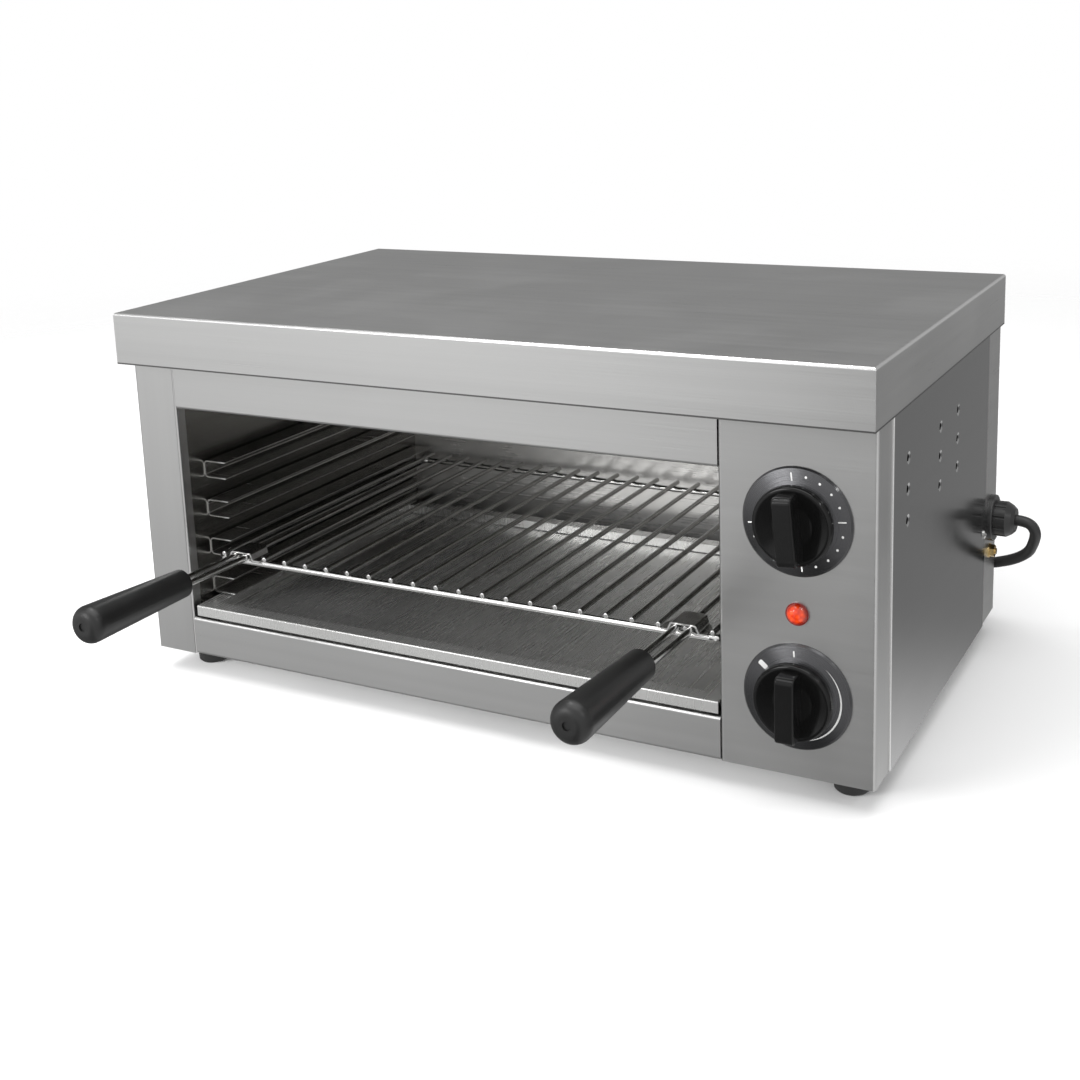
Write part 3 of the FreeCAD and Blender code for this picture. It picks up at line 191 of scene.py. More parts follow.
def addMath(tree, operation, *values):
    return addNode(tree, "ShaderNodeMath", dict(enumerate(values)), operation=operation).outputs[0]


def addVectorMath(tree, operation, *values):
    made = addNode(tree, "ShaderNodeVectorMath", dict(enumerate(values)), operation=operation)
    return made.outputs["Value" if operation in ("LENGTH", "DOT_PRODUCT") else "Vector"]


def addMix(tree, kind, mask, first, second):
    low, high, result = mixSockets[kind]
    made = addNode(tree, "ShaderNodeMix", data_type=kind)
    fill(tree, made, {"Factor": mask, low: first, high: second})
    return made.outputs[result]


def mixColours(tree, mask, dark, light):
    return addMix(tree, "RGBA", mask, (*dark, 1), (*light, 1))


def layTone(tree, mask, colour, tone):
    # the tone covers the colour where the mask is 1
    return addMix(tree, "RGBA", mask, colour, (*tone, 1))


def addRamp(tree, value, span, levels=(0.0, 1.0), curve="SMOOTHSTEP"):
    made = addNode(tree, "ShaderNodeMapRange", interpolation_type=curve)
    fill(tree, made, {"Value": value, "From Min": span[0], "From Max": span[1],
                      "To Min": levels[0], "To Max": levels[1]})
    return made.outputs["Result"]


def spreadNoise(tree, noise, levels):
    return addRamp(tree, noise, noiseSpan, levels, "LINEAR")


def addNoise(tree, inputs, **settings):
    return addNode(tree, "ShaderNodeTexNoise", inputs, **settings).outputs["Fac"]


def addBump(tree, height, strength, depth, normal=None):
    made = addNode(tree, "ShaderNodeBump", {"Height": height, "Strength": strength, "Distance": depth})
    if normal is not None:
        tree.links.new(normal, made.inputs["Normal"])
    return made.outputs["Normal"]


def objectPlace(tree):
    return addNode(tree, "ShaderNodeTexCoord").outputs["Object"]


def splitParts(tree, vector):
    return addNode(tree, "ShaderNodeSeparateXYZ", {0: vector}).outputs


def newMaterial(name):
    made = bpy.data.materials.new(name)
    made.use_nodes = True
    return made, made.node_tree, made.node_tree.nodes["Principled BSDF"]


def newGroup(name, inputs, outputs):
    tree = bpy.data.node_groups.new(name, "ShaderNodeTree")
    for label, kind in inputs.items():
        tree.interface.new_socket(label, in_out="INPUT", socket_type=kind)
    for label in outputs:
        tree.interface.new_socket(label, in_out="OUTPUT", socket_type="NodeSocketFloat")
    return tree, addNode(tree, "NodeGroupInput").outputs, addNode(tree, "NodeGroupOutput")


def useGroup(tree, group, inputs):
    return addNode(tree, "ShaderNodeGroup", inputs, node_tree=group).outputs


# Grain left by the brushing belt: long fine lines, turned with the face they lie on

brushing = {
    "sideFrom": 0.7,  # a face is a side one where its normal's X is larger
    "lines": {"Scale": 1.0, "Detail": 4.0, "Roughness": 0.65},
    "streaks": {"Scale": 1.0, "Detail": 2.0, "Roughness": 0.5},
    "streakScale": 0.12,  # of the lines' scale
}


def makeBrushedGrain():
    tree, given, out = newGroup(
        "brushedGrain",
        {"Front Scale": "NodeSocketVector", "Side Scale": "NodeSocketVector"},
        ["Lines", "Streaks"],
    )
    facing = splitParts(tree, addNode(tree, "ShaderNodeNewGeometry").outputs["Normal"])
    onSide = addMath(tree, "GREATER_THAN", addMath(tree, "ABSOLUTE", facing["X"]), brushing["sideFrom"])
    scale = addMix(tree, "VECTOR", onSide, given["Front Scale"], given["Side Scale"])
    stretched = addVectorMath(tree, "MULTIPLY", objectPlace(tree), scale)
    broad = addVectorMath(tree, "MULTIPLY", stretched, (brushing["streakScale"],) * 3)
    fill(tree, out, {
        "Lines": addNoise(tree, {"Vector": stretched, **brushing["lines"]}),
        "Streaks": addNoise(tree, {"Vector": broad, **brushing["streaks"]}),
    })
    return tree


# Cloudy marks of wiping and handling

wiping = {
    "marks": {"Size": 7.0, "Low": 0.42, "High": 0.66},  # low and high: where the cloud begins to mark
    "cloud": {"Detail": 5.0, "Roughness": 0.55, "Distortion": 0.6},
}


def makeWipeMarks():
    tree, given, out = newGroup(
        "wipeMarks",
        {"Size": "NodeSocketFloat", "Low": "NodeSocketFloat", "High": "NodeSocketFloat"},
        ["Mask"],
    )
    cloud = addNoise(tree, {"Vector": objectPlace(tree), "Scale": given["Size"], **wiping["cloud"]})
    fill(tree, out, {"Mask": addRamp(tree, cloud, (given["Low"], given["High"]))})
    return tree


# Fine skin of a moulded, drawn or rubber part

skinNoise = {
    "grain": {"Detail": 3.0, "Roughness": 0.6},
    "patches": {"Detail": 4.0, "Roughness": 0.5},
}


def makeFineSkin():
    tree, given, out = newGroup(
        "fineSkin",
        {"Grain Size": "NodeSocketFloat", "Patch Size": "NodeSocketFloat"},
        ["Grain", "Patches"],
    )
    place = objectPlace(tree)
    fill(tree, out, {
        "Grain": addNoise(tree, {"Vector": place, "Scale": given["Grain Size"], **skinNoise["grain"]}),
        "Patches": addNoise(tree, {"Vector": place, "Scale": given["Patch Size"], **skinNoise["patches"]}),
    })
    return tree


# A band at the low end of a piece along one axis, for painted highlights on cut edges and painted shade
# along hems

def makeEdgeBand():
    tree, given, out = newGroup(
        "edgeBand",
        {"Axis": "NodeSocketVector", "Ends At": "NodeSocketFloat"},
        ["Mask"],
    )
    along = addVectorMath(tree, "DOT_PRODUCT", objectPlace(tree), given["Axis"])
    fill(tree, out, {"Mask": addMath(tree, "LESS_THAN", along, given["Ends At"])})
    return tree


# Distance from an axle that runs from front to back, and fine rings turned about it

turning = {"acrossAxle": (1, 0, 1), "noise": {"Scale": 1.0, "Detail": 3.0, "Roughness": 0.7}}


def makeAxleReach():
    tree, given, out = newGroup("axleReach", {"Centre": "NodeSocketVector"}, ["Reach"])
    offset = addVectorMath(tree, "SUBTRACT", objectPlace(tree), given["Centre"])
    flat = addVectorMath(tree, "MULTIPLY", offset, turning["acrossAxle"])
    fill(tree, out, {"Reach": addVectorMath(tree, "LENGTH", flat)})
    return tree


def makeTurnedRings():
    tree, given, out = newGroup(
        "turnedRings",
        {"Reach": "NodeSocketFloat", "Rings Per Metre": "NodeSocketFloat"},
        ["Rings"],
    )
    rings = addMath(tree, "MULTIPLY", given["Reach"], given["Rings Per Metre"])
    fill(tree, out, {"Rings": addNoise(tree, {"W": rings, **turning["noise"]}, noise_dimensions="1D")})
    return tree


brushedGrain = makeBrushedGrain()
wipeMarks = makeWipeMarks()
fineSkin = makeFineSkin()
edgeBand = makeEdgeBand()
axleReach = makeAxleReach()
turnedRings = makeTurnedRings()


# Brushed sheet: casing, tray and chamber differ in tone and gloss; the chamber's darker tone is painted
# shade

sheets = {  # front and side: scale of the grain on faces that look to the front and to a side
    "stainlessFlat": {"dark": (0.56, 0.56, 0.555), "light": (0.64, 0.64, 0.635), "metal": 1.0,
                      "rough": (0.26, 0.36), "front": (8, 900, 900), "side": (900, 8, 900),
                      "bump": 0.10, "wipe": 0.04},
    "stainlessUpright": {"dark": (0.56, 0.56, 0.555), "light": (0.61, 0.61, 0.605), "metal": 1.0,
                         "rough": (0.27, 0.35), "front": (900, 900, 8), "side": (900, 900, 8),
                         "bump": 0.08, "wipe": 0.04},
    "controlSheet": {"dark": (0.52, 0.52, 0.515), "light": (0.58, 0.58, 0.575), "metal": 1.0,
                     "rough": (0.32, 0.40), "front": (8, 900, 900), "side": (900, 900, 8),
                     "bump": 0.10, "wipe": 0.04},
    # a darker copy of the stainless: painted shade on the right side panel
    "shadedSideSheet": {"dark": (0.33, 0.33, 0.33), "light": (0.36, 0.36, 0.36), "metal": 1.0,
                  "rough": (0.14, 0.17), "front": (8, 900, 900), "side": (900, 8, 900),
                  "bump": 0.02, "wipe": 0.03, "edge": "sideEdgeHighlight"},
    # a darker copy of the sheet: painted shade inside the chamber
    "shadedChamberSheet": {"dark": (0.20, 0.196, 0.185), "light": (0.31, 0.303, 0.29), "metal": 0.99,
                     "rough": (0.18, 0.26), "front": (10, 700, 700), "side": (700, 10, 700),
                     "bump": 0.04, "wipe": 0.03},
    "guideSheet": {"dark": (0.42, 0.415, 0.40), "light": (0.54, 0.53, 0.515), "metal": 0.98,
                   "rough": (0.18, 0.26), "front": (10, 700, 700), "side": (700, 10, 700),
                   "bump": 0.04, "wipe": 0.03, "edge": "guideEdgeHighlight"},
    "backWallSheet": {"dark": (0.66, 0.655, 0.64), "light": (0.74, 0.73, 0.715), "metal": 0.50,
                      "rough": (0.22, 0.28), "front": (10, 700, 700), "side": (700, 10, 700),
                      "bump": 0.04, "wipe": 0.05},
    "traySheet": {"dark": (0.57, 0.57, 0.56), "light": (0.62, 0.62, 0.61), "metal": 0.82,
                  "rough": (0.24, 0.29), "front": (500, 10, 30), "side": (500, 10, 30),
                  "bump": 0.04, "wipe": 0.02},
}
# the lid's sheet, with a painted dark line of shade along its hem
sheets["lidSheet"] = {**sheets["stainlessFlat"], "edge": "lidHemShade"}
sheetRelief = 0.0004  # depth of the brushing, at full bump
edges = {  # a narrow band of another tone, from the lowest place of a node along one axis; the cut edges get a painted highlight, the lid's hem painted shade
    # painted highlight: a bright line along the side panel's cut front edge
    "sideEdgeHighlight": {"node": "right_side_panel", "axis": (0, 1, 0), "depth": 0.0011,
                "tone": (0.85, 0.85, 0.845)},
    # painted highlight: bright lines along the front edges of the rack guides
    "guideEdgeHighlight": {"node": "rack_guide_left_1", "axis": (0, 1, 0), "depth": 0.0011,
                 "tone": (0.85, 0.85, 0.845)},
    # painted shade: a dark line along the lower edge of the lid's skirt, standing in for the shade in the
    # gap beneath it
    "lidHemShade": {"node": "top_cover", "axis": (0, 0, 1), "depth": 0.0012,
               "tone": (0.15, 0.15, 0.148)},
}


def paintEdge(tree, colour, edge):
    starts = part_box(edge["node"])[0].dot(Vector(edge["axis"]))
    band = useGroup(tree, edgeBand, {"Axis": edge["axis"], "Ends At": starts + edge["depth"]})
    return layTone(tree, band["Mask"], colour, edge["tone"])


def makeSheet(name, look):
    made, tree, shader = newMaterial(name)
    grain = useGroup(tree, brushedGrain, {"Front Scale": look["front"], "Side Scale": look["side"]})
    wipe = useGroup(tree, wipeMarks, wiping["marks"])
    colour = mixColours(tree, grain["Streaks"], look["dark"], look["light"])
    if "edge" in look:
        colour = paintEdge(tree, colour, edges[look["edge"]])
    rough = spreadNoise(tree, grain["Lines"], look["rough"])
    fill(tree, shader, {
        "Metallic": look["metal"],
        "Base Color": colour,
        "Roughness": addMath(tree, "MULTIPLY_ADD", wipe["Mask"], look["wipe"], rough),
        "Normal": addBump(tree, grain["Lines"], look["bump"], sheetRelief),
    })
    return made


sheetSet = {name: makeSheet(name, look) for name, look in sheets.items()}


# Plain metals: wire, screws, stud, pins, shafts and the element's oxidised sheath

metals = {
    "brightWire": {"dark": (0.62, 0.62, 0.61), "light": (0.78, 0.78, 0.77), "rough": (0.10, 0.24)},
    # the rack's wires are darkened deeper in the chamber: painted shade for the dark chamber they reflect
    "gridWire": {"dark": (0.58, 0.58, 0.57), "light": (0.74, 0.74, 0.73), "rough": (0.14, 0.26),
                 "shadedInside": (0.46, 0.455, 0.44)},
    "screwSteel": {"dark": (0.42, 0.42, 0.41), "light": (0.60, 0.60, 0.59), "rough": (0.20, 0.36)},
    "turnedSteel": {"dark": (0.45, 0.45, 0.45), "light": (0.60, 0.60, 0.60), "rough": (0.22, 0.34)},
    "studBrass": {"dark": (0.50, 0.35, 0.14), "light": (0.78, 0.60, 0.30), "rough": (0.18, 0.36)},
    "pinBrass": {"dark": (0.62, 0.46, 0.20), "light": (0.80, 0.64, 0.34), "rough": (0.14, 0.28)},
    "elementSheath": {"dark": (0.06, 0.055, 0.05), "light": (0.17, 0.15, 0.13), "rough": (0.38, 0.62)},
}
metalSkin = {"metal": 1.0, "shine": 0.5, "grain": 900, "patch": 45, "bump": 0.06, "relief": 0.0002}
wireShade = {"starts": 0.010, "full": 0.090}  # metres behind the rack's front wire


# Plastics and rubbers

plastics = {
    "knobBlack": {"dark": (0.003, 0.003, 0.003), "light": (0.006, 0.006, 0.006), "rough": (0.10, 0.15),
                  "grain": 900, "bump": 0.02, "shine": 0.26},
    "gripBlack": {"dark": (0.007, 0.007, 0.007), "light": (0.014, 0.014, 0.014), "rough": (0.30, 0.42),
                  "grain": 1500, "bump": 0.10, "shine": 0.40},
    "footRubber": {"dark": (0.010, 0.010, 0.010), "light": (0.022, 0.022, 0.022), "rough": (0.55, 0.72),
                   "grain": 1600, "bump": 0.15},
    "cordRubber": {"dark": (0.010, 0.010, 0.010), "light": (0.020, 0.020, 0.020), "rough": (0.38, 0.52),
                   "grain": 1500, "bump": 0.12},
    "plugRubber": {"dark": (0.012, 0.012, 0.012), "light": (0.024, 0.024, 0.024), "rough": (0.36, 0.52),
                   "grain": 1300, "bump": 0.12},
    "glandNylon": {"dark": (0.010, 0.010, 0.010), "light": (0.018, 0.018, 0.018), "rough": (0.24, 0.36),
                   "grain": 1300, "bump": 0.08},
    "controlCase": {"dark": (0.05, 0.05, 0.052), "light": (0.09, 0.09, 0.092), "rough": (0.40, 0.55),
                    "grain": 1300, "bump": 0.08},
    "blockWhite": {"dark": (0.66, 0.65, 0.61), "light": (0.80, 0.79, 0.75), "rough": (0.36, 0.48),
                   "grain": 1300, "bump": 0.06},
    "wireSleeve": {"dark": (0.20, 0.13, 0.08), "light": (0.36, 0.25, 0.16), "rough": (0.40, 0.55),
                   "grain": 1300, "bump": 0.06},
    "tiePlastic": {"dark": (0.015, 0.015, 0.015), "light": (0.03, 0.03, 0.03), "rough": (0.30, 0.45),
                   "grain": 1500, "bump": 0.06},
    "dialInk": {"dark": (0.60, 0.60, 0.59), "light": (0.78, 0.78, 0.77), "rough": (0.35, 0.50),
                "grain": 2200, "bump": 0.05},
}
plasticSkin = {"metal": 0.0, "shine": 0.5, "patch": 26, "relief": 0.0003}


def wireShadeMask(tree):
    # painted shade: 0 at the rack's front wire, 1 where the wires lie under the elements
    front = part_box("rack_wires")[0].y
    inward = splitParts(tree, objectPlace(tree))["Y"]
    return addRamp(tree, inward, (front + wireShade["starts"], front + wireShade["full"]))


def makeSkinned(name, look):
    made, tree, shader = newMaterial(name)
    skin = useGroup(tree, fineSkin, {"Grain Size": look["grain"], "Patch Size": look["patch"]})
    colour = mixColours(tree, skin["Patches"], look["dark"], look["light"])
    # painted shade on the wires deeper in the chamber
    if "shadedInside" in look:
        colour = layTone(tree, wireShadeMask(tree), colour, look["shadedInside"])
    fill(tree, shader, {
        "Metallic": look["metal"],
        "Specular IOR Level": look["shine"],
        "Base Color": colour,
        "Roughness": spreadNoise(tree, skin["Patches"], look["rough"]),
        "Normal": addBump(tree, skin["Grain"], look["bump"], look["relief"]),
    })
    return made


metalSet = {name: makeSkinned(name, {**metalSkin, **look}) for name, look in metals.items()}
plasticSet = {name: makeSkinned(name, {**plasticSkin, **look}) for name, look in plastics.items()}


# Dial plate: black anodised and turned, so it carries fine rings and a sheen like a shallow cone

dialPlate = {
    "dark": (0.065, 0.065, 0.068),
    "light": (0.125, 0.125, 0.13),
    "rough": (0.22, 0.34),
    "coat": 0.35,
    "coatRough": 0.12,
    "cone": 0.34,  # slope of the sheen
    "ringsPerMetre": 2600,
    "ringBump": 0.25,
    "ringRelief": 0.0002,
}


def faceCentre(node):
    low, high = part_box(node)
    return ((low.x + high.x) / 2, low.y, (low.z + high.z) / 2)


def makeDialPlate(name, node):
    look = dialPlate
    made, tree, shader = newMaterial(name)
    reach = useGroup(tree, axleReach, {"Centre": faceCentre(node)})["Reach"]
    turned = {"Reach": reach, "Rings Per Metre": look["ringsPerMetre"]}
    rings = useGroup(tree, turnedRings, turned)["Rings"]
    cone = addBump(tree, addMath(tree, "MULTIPLY", reach, -look["cone"]), 1.0, 1.0)  # metres as they are
    fill(tree, shader, {
        "Metallic": 1.0,
        "Coat Weight": look["coat"],
        "Coat Roughness": look["coatRough"],
        "Base Color": mixColours(tree, rings, look["dark"], look["light"]),
        "Roughness": spreadNoise(tree, rings, look["rough"]),
        "Normal": addBump(tree, rings, look["ringBump"], look["ringRelief"], cone),
    })
    return made


timerPlate = makeDialPlate("timerPlate", "timer_dial")
heatPlate = makeDialPlate("heatPlate", "heat_dial")


# Pilot lamp: clear red cap with small prisms moulded inside, with a painted glow, a painted bright middle
# and painted shade toward the rim

lampLook = {
    "bright": (0.68, 0.06, 0.006),
    "deep": (0.30, 0.006, 0.002),
    "rim": (0.10, 0.002, 0.001),
    "clear": 0.55,  # share of the radius that the painted bright middle takes
    "rough": 0.10,
    "coat": 0.4,
    "coatRough": 0.04,
    "paintedGlow": 0.30,
    "prismsPerMetre": 330.0,
    "prismBump": 0.25,
    "prismRelief": 0.001,
}


def makeLampRed():
    look = lampLook
    made, tree, shader = newMaterial("lampRed")
    low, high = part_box("pilot_lens")
    radius = (high.x - low.x) / 2
    cells = {"Vector": objectPlace(tree), "Scale": look["prismsPerMetre"]}
    prisms = addNode(tree, "ShaderNodeTexVoronoi", cells).outputs["Distance"]
    reach = useGroup(tree, axleReach, {"Centre": faceCentre("pilot_lens")})["Reach"]
    # painted shade toward the rim of the lens
    rimShadeMask = addRamp(tree, reach, (radius * look["clear"], radius))
    colour = layTone(tree, rimShadeMask, mixColours(tree, prisms, look["bright"], look["deep"]), look["rim"])
    fill(tree, shader, {
        "Roughness": look["rough"],
        "Coat Weight": look["coat"],
        "Coat Roughness": look["coatRough"],
        # painted glow: the lens gives off light of its own colour
        "Emission Strength": look["paintedGlow"],
        "Emission Color": colour,
        "Base Color": colour,
        "Normal": addBump(tree, prisms, look["prismBump"], look["prismRelief"]),
    })
    return made


lampRed = makeLampRed()
print("materials made")


# Finishes on the CAD nodes

finishes = {
    "stainless": sheetSet["stainlessFlat"], "chamber_steel": sheetSet["shadedChamberSheet"],
    "tray_steel": sheetSet["traySheet"],
    "element_sheath": metalSet["elementSheath"], "rack_chrome": metalSet["brightWire"],
    "screw_steel": metalSet["screwSteel"], "shaft_steel": metalSet["turnedSteel"],
    "stud_brass": metalSet["studBrass"], "pin_brass": metalSet["pinBrass"],
    "bakelite": plasticSet["knobBlack"], "dial_black": timerPlate, "lamp_red": lampRed,
    "foot_rubber": plasticSet["footRubber"], "cord_rubber": plasticSet["cordRubber"],
    "plug_rubber": plasticSet["plugRubber"], "gland_black": plasticSet["glandNylon"],
    "control_case": plasticSet["controlCase"], "block_white": plasticSet["blockWhite"],
    "wire_insulation": plasticSet["wireSleeve"], "tie_plastic": plasticSet["tiePlastic"],
}
ownFinish = {
    "top_cover": sheetSet["lidSheet"],
    "left_side_panel": sheetSet["stainlessUpright"],
    "right_side_panel": sheetSet["shadedSideSheet"],
    "chamber_back_wall": sheetSet["backWallSheet"],
    "control_panel": sheetSet["controlSheet"],
    "heat_dial": heatPlate,
    "rack_wires": metalSet["gridWire"],
    "handle_grip_left": plasticSet["gripBlack"],
    "handle_grip_right": plasticSet["gripBlack"],
}


def dressNodes():
    for part in frame["record"]["subparts"]:
        name = part["node"]
        finish = ownFinish.get(name, finishes[part["material_slot"]])
        if name.startswith("rack_guide"):
            finish = sheetSet["guideSheet"]
        for place in frame["nodes"][name].material_slots:
            place.material = finish
    supplyFlex.data.materials.append(plasticSet["cordRubber"])


dressNodes()
print("nodes dressed")


# Printed marks on the two dial plates

inkPrint = {
    "thick": 0.00006,
    "cornerShare": 0.3,  # of a line's width
    "cornerSteps": 3,
    "rimShare": 0.4,  # of the ink's thickness
    "rimSteps": 2,
    "dotSides": 24,
    "arcSides": 160,
    "inLine": 1e-6,  # two ends this near count as one behind the other
    "sameSpot": 0.00004,  # points nearer than this are merged
}
timerMarks = {
    "turn": -6.5,  # degrees, how far the print is turned
    "step": 18.0,
    "count": 16,
    "lineEvery": 5,
    "reach": 0.0302,
    "dotReach": 0.0310,
    "dot": 0.00085,
    "line": (0.0009, 0.0056),
}
heatMarks = {
    "reach": 0.0300,
    "block": (0.0036, 0.0066),
    "blockAt": -50.0,
    "line": (0.0010, 0.0042),
    "lineAt": -3.5,
    "crescent": (40.0, 172.0),  # degrees from the top, clockwise
    "crescentWidth": 0.0012,
}


def onDial(centre, angle, reach):
    turn = math.radians(angle)
    return (centre[0] + reach * math.sin(turn), centre[1], centre[2] + reach * math.cos(turn))


def selectEdges(piece, wanted):
    # an edge is picked by the places of its two ends
    bpy.ops.object.mode_set(mode="EDIT")
    bpy.ops.mesh.select_mode(type="EDGE")
    bpy.ops.mesh.select_all(action="DESELECT")
    bpy.ops.object.mode_set(mode="OBJECT")
    for edge in piece.data.edges:
        first, second = [piece.data.vertices[i].co for i in edge.vertices]
        edge.select = wanted(first, second)
    bpy.ops.object.mode_set(mode="EDIT")


def modelLine(size):
    bpy.ops.mesh.primitive_cube_add(size=1)
    mark = bpy.context.object
    mark.scale = (size[0], inkPrint["thick"], size[1])
    settle(mark)
    near = inkPrint["inLine"]
    selectEdges(mark, lambda a, b: abs(a.x - b.x) < near and abs(a.z - b.z) < near)
    bpy.ops.mesh.bevel(offset=size[0] * inkPrint["cornerShare"], segments=inkPrint["cornerSteps"],
                       affect="EDGES")
    bpy.ops.object.mode_set(mode="OBJECT")
    return mark


def modelDot(radius):
    bpy.ops.mesh.primitive_cylinder_add(vertices=inkPrint["dotSides"], radius=radius,
                                        depth=inkPrint["thick"], rotation=(math.pi / 2, 0, 0))
    mark = bpy.context.object
    settle(mark)
    selectEdges(mark, lambda a, b: max(a.y, b.y) < 0)
    bpy.ops.mesh.bevel(offset=inkPrint["thick"] * inkPrint["rimShare"], segments=inkPrint["rimSteps"],
                       affect="EDGES")
    bpy.ops.object.mode_set(mode="OBJECT")
    return mark


def copyMark(mark):
    pick(mark)
    bpy.ops.object.duplicate()
    return bpy.context.object


def placeMark(mark, place, angle=0.0):
    mark.location = place
    mark.rotation_euler = (0, math.radians(angle), 0)
    settle(mark)
    return mark


def printCrescent(centre, look):
    # two arcs that meet at both ends, the outer one bulging further
    start, end = look["crescent"]
    middle = (start + end) / 2
    halfTurn = math.radians(end - start) / 2
    halfChord = look["reach"] * math.sin(halfTurn)
    chordAt = look["reach"] * math.cos(halfTurn)
    face = (centre[0], centre[1] - inkPrint["thick"] / 2, centre[2])
    arcs = []
    for width in (-look["crescentWidth"], look["crescentWidth"]):
        top = look["reach"] + width / 2
        rise = top - chordAt
        radius = (halfChord ** 2 + rise ** 2) / (2 * rise)
        bpy.ops.mesh.primitive_circle_add(vertices=inkPrint["arcSides"], radius=radius,
                                          location=onDial(face, middle, top - radius),
                                          rotation=(math.pi / 2, 0, 0))
        arcs.append(bpy.context.object)
        settle(bpy.context.object)
    mark = joinPieces(arcs)
    bpy.ops.object.mode_set(mode="EDIT")
    bpy.ops.mesh.select_all(action="SELECT")
    bpy.ops.mesh.bisect(plane_co=onDial(face, middle, chordAt), plane_no=onDial((0, 0, 0), middle, 1.0),
                        clear_inner=True)
    bpy.ops.mesh.select_all(action="SELECT")
    bpy.ops.mesh.bridge_edge_loops()
    bpy.ops.mesh.select_all(action="SELECT")
    bpy.ops.mesh.extrude_region_move(TRANSFORM_OT_translate={"value": (0, inkPrint["thick"], 0)})
    bpy.ops.mesh.select_all(action="SELECT")
    bpy.ops.mesh.remove_doubles(threshold=inkPrint["sameSpot"])
    bpy.ops.mesh.normals_make_consistent(inside=False)
    bpy.ops.object.mode_set(mode="OBJECT")
    return mark


def finishPrint(marks, name):
    piece = joinPieces(marks)
    piece.name = name
    piece.data.name = name
    piece.data.materials.append(plasticSet["dialInk"])
    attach(piece, "casing")


def makeTimerMarks():
    look = timerMarks
    centre = faceCentre("timer_dial")
    line = modelLine(look["line"])
    dot = modelDot(look["dot"])
    marks = []
    for i in range(look["count"]):
        angle = look["turn"] + look["step"] * i
        if i % look["lineEvery"] == 0:
            marks.append(placeMark(copyMark(line), onDial(centre, angle, look["reach"]), angle))
        else:
            marks.append(placeMark(copyMark(dot), onDial(centre, angle, look["dotReach"])))
    pick(line, dot)
    bpy.ops.object.delete()
    finishPrint(marks, "timerMarks")


def makeHeatMarks():
    look = heatMarks
    centre = faceCentre("heat_dial")
    block = modelLine(look["block"])
    line = modelLine(look["line"])
    marks = [
        placeMark(block, onDial(centre, look["blockAt"], look["reach"]), look["blockAt"]),
        placeMark(line, onDial(centre, look["lineAt"], look["reach"]), look["lineAt"]),
        printCrescent(centre, look),
    ]
    finishPrint(marks, "heatMarks")


makeTimerMarks()
makeHeatMarks()
print("dials printed")


# Stage: pale floor that fades into the backdrop, soft light from above and from the front

studio = {
    "floorRadius": 6.0,
    "floorSides": 96,
    "floorTone": (0.93, 0.93, 0.93),
    "floorRough": 0.9,
    "floorShine": 0.1,
    "fade": (0.9, 2.4),  # the floor is solid up to the first reach and gone at the second
    "backdrop": (1.0, 1.0, 1.0),
    "sky": (1.0, 1.0, 1.0),
    "back": 0.26,  # light from behind, but for the right side
    "ramps": {  # axis, where it runs along it, level at either end
        "leftSide": ("X", (-0.74, -0.50), (0.68, 1.0)),
        "rightSide": ("X", (-0.38, -0.18), (1.24, 0.20)),
        "down": ("Z", (-0.46, -0.10), (0.34, 1.0)),
        "high": ("Z", (-0.14, 0.02), (0.0, 1.0)),
        "strip": ("X", (0.05, 0.25), (0.0, 0.9)),
        "lower": ("Z", (-0.48, -0.36), (1.0, 0.26)),
        "upper": ("Z", (-0.22, -0.08), (0.0, 0.60)),
        "toRight": ("X", (-0.1, 0.2), (0.0, 1.0)),
        "toFront": ("Y", (0.35, -0.75), (0.0, 1.0)),
    },
    "lampAim": (0.0, 0.0, 0.12),
    "lamps": {  # place, size, power, seen in reflections
        "topSoftbox": ((0.0, -0.2, 2.4), 2.6, 46.0, True),
        "topKey": ((-0.5, 0.1, 2.0), 0.14, 4.0, True),
        "frontSoftbox": ((-1.1, -2.0, 1.1), 0.9, 14.0, True),
        "rightKey": ((1.7, -1.0, 1.5), 0.14, 3.0, True),
        "lowFill": ((-1.3, -1.35, 0.44), 0.6, 32.0, False),
    },
}


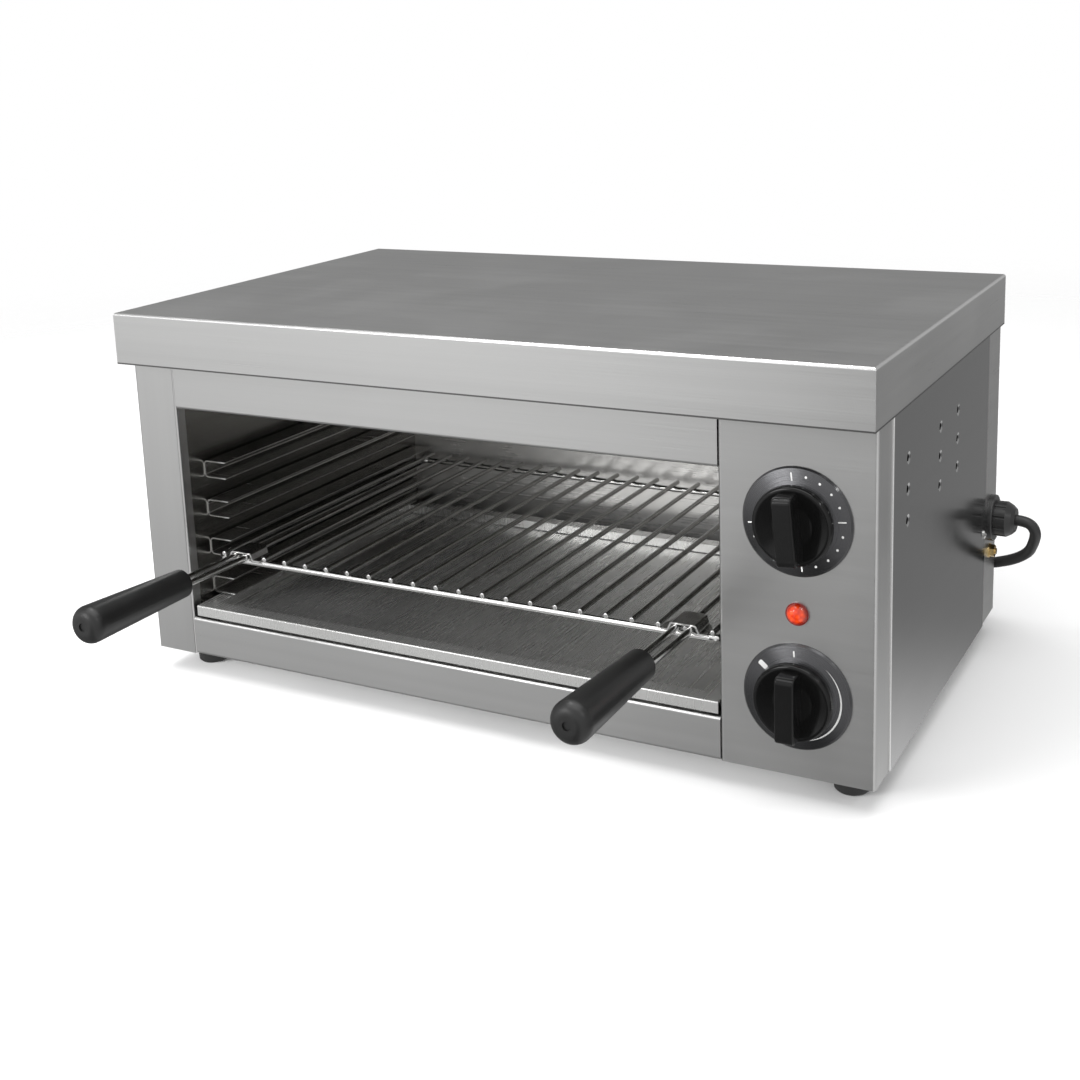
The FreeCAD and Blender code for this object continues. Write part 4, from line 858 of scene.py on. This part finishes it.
def makeFloor():
    bpy.ops.mesh.primitive_circle_add(vertices=studio["floorSides"], radius=studio["floorRadius"],
                                      fill_type="NGON")
    floor = bpy.context.object
    floor.name = "studioFloor"
    made, tree, shader = newMaterial("studioFloor")
    reach = addVectorMath(tree, "LENGTH", objectPlace(tree))
    fill(tree, shader, {
        "Base Color": (*studio["floorTone"], 1),
        "Roughness": studio["floorRough"],
        "Specular IOR Level": studio["floorShine"],
        "Alpha": addRamp(tree, reach, studio["fade"], (1.0, 0.0)),
    })
    floor.data.materials.append(made)
    floor.visible_glossy = False


def makeWorld():
    world = bpy.data.worlds.new("studioWorld")
    bpy.context.scene.world = world
    world.use_nodes = True
    tree = world.node_tree
    way = splitParts(tree, addNode(tree, "ShaderNodeTexCoord").outputs["Generated"])
    level = {name: addRamp(tree, way[axis], span, levels)
             for name, (axis, span, levels) in studio["ramps"].items()}
    # in front: bright in the middle, dimmer to both sides and toward the floor
    across = addMath(tree, "MULTIPLY", level["leftSide"], level["rightSide"])
    across = addMath(tree, "MULTIPLY", across, level["down"])
    # bright above eye level and on the far right, which only folds, edges and round parts catch
    front = addMath(tree, "MAXIMUM", across, level["high"])
    front = addMath(tree, "MAXIMUM", front, level["strip"])
    # behind: dim, and on the right brighter high up and low down
    right = addMath(tree, "MAXIMUM", level["lower"], level["upper"])
    behind = addMix(tree, "FLOAT", level["toRight"], studio["back"], right)
    around = addMix(tree, "FLOAT", level["toFront"], behind, front)
    sky = tree.nodes["Background"]
    fill(tree, sky, {"Color": (*studio["sky"], 1), "Strength": around})
    backdrop = addNode(tree, "ShaderNodeBackground", {"Color": (*studio["backdrop"], 1)})
    # only the camera sees the plain backdrop
    seen = addNode(tree, "ShaderNodeLightPath").outputs["Is Camera Ray"]
    chosen = addNode(tree, "ShaderNodeMixShader", {0: seen, 1: sky.outputs[0], 2: backdrop.outputs[0]})
    fill(tree, tree.nodes["World Output"], {"Surface": chosen.outputs[0]})


def makeLamps():
    aim = Vector(studio["lampAim"])
    for name, (place, size, power, seen) in studio["lamps"].items():
        bpy.ops.object.light_add(type="AREA", location=place)
        lamp = bpy.context.object
        lamp.name = name
        lamp.data.size = size
        lamp.data.energy = power
        lamp.rotation_euler = (aim - Vector(place)).to_track_quat("-Z", "Y").to_euler()
        lamp.visible_glossy = seen


makeFloor()
makeWorld()
makeLamps()
bpy.context.scene.view_settings.view_transform = "Standard"
print("stage set")
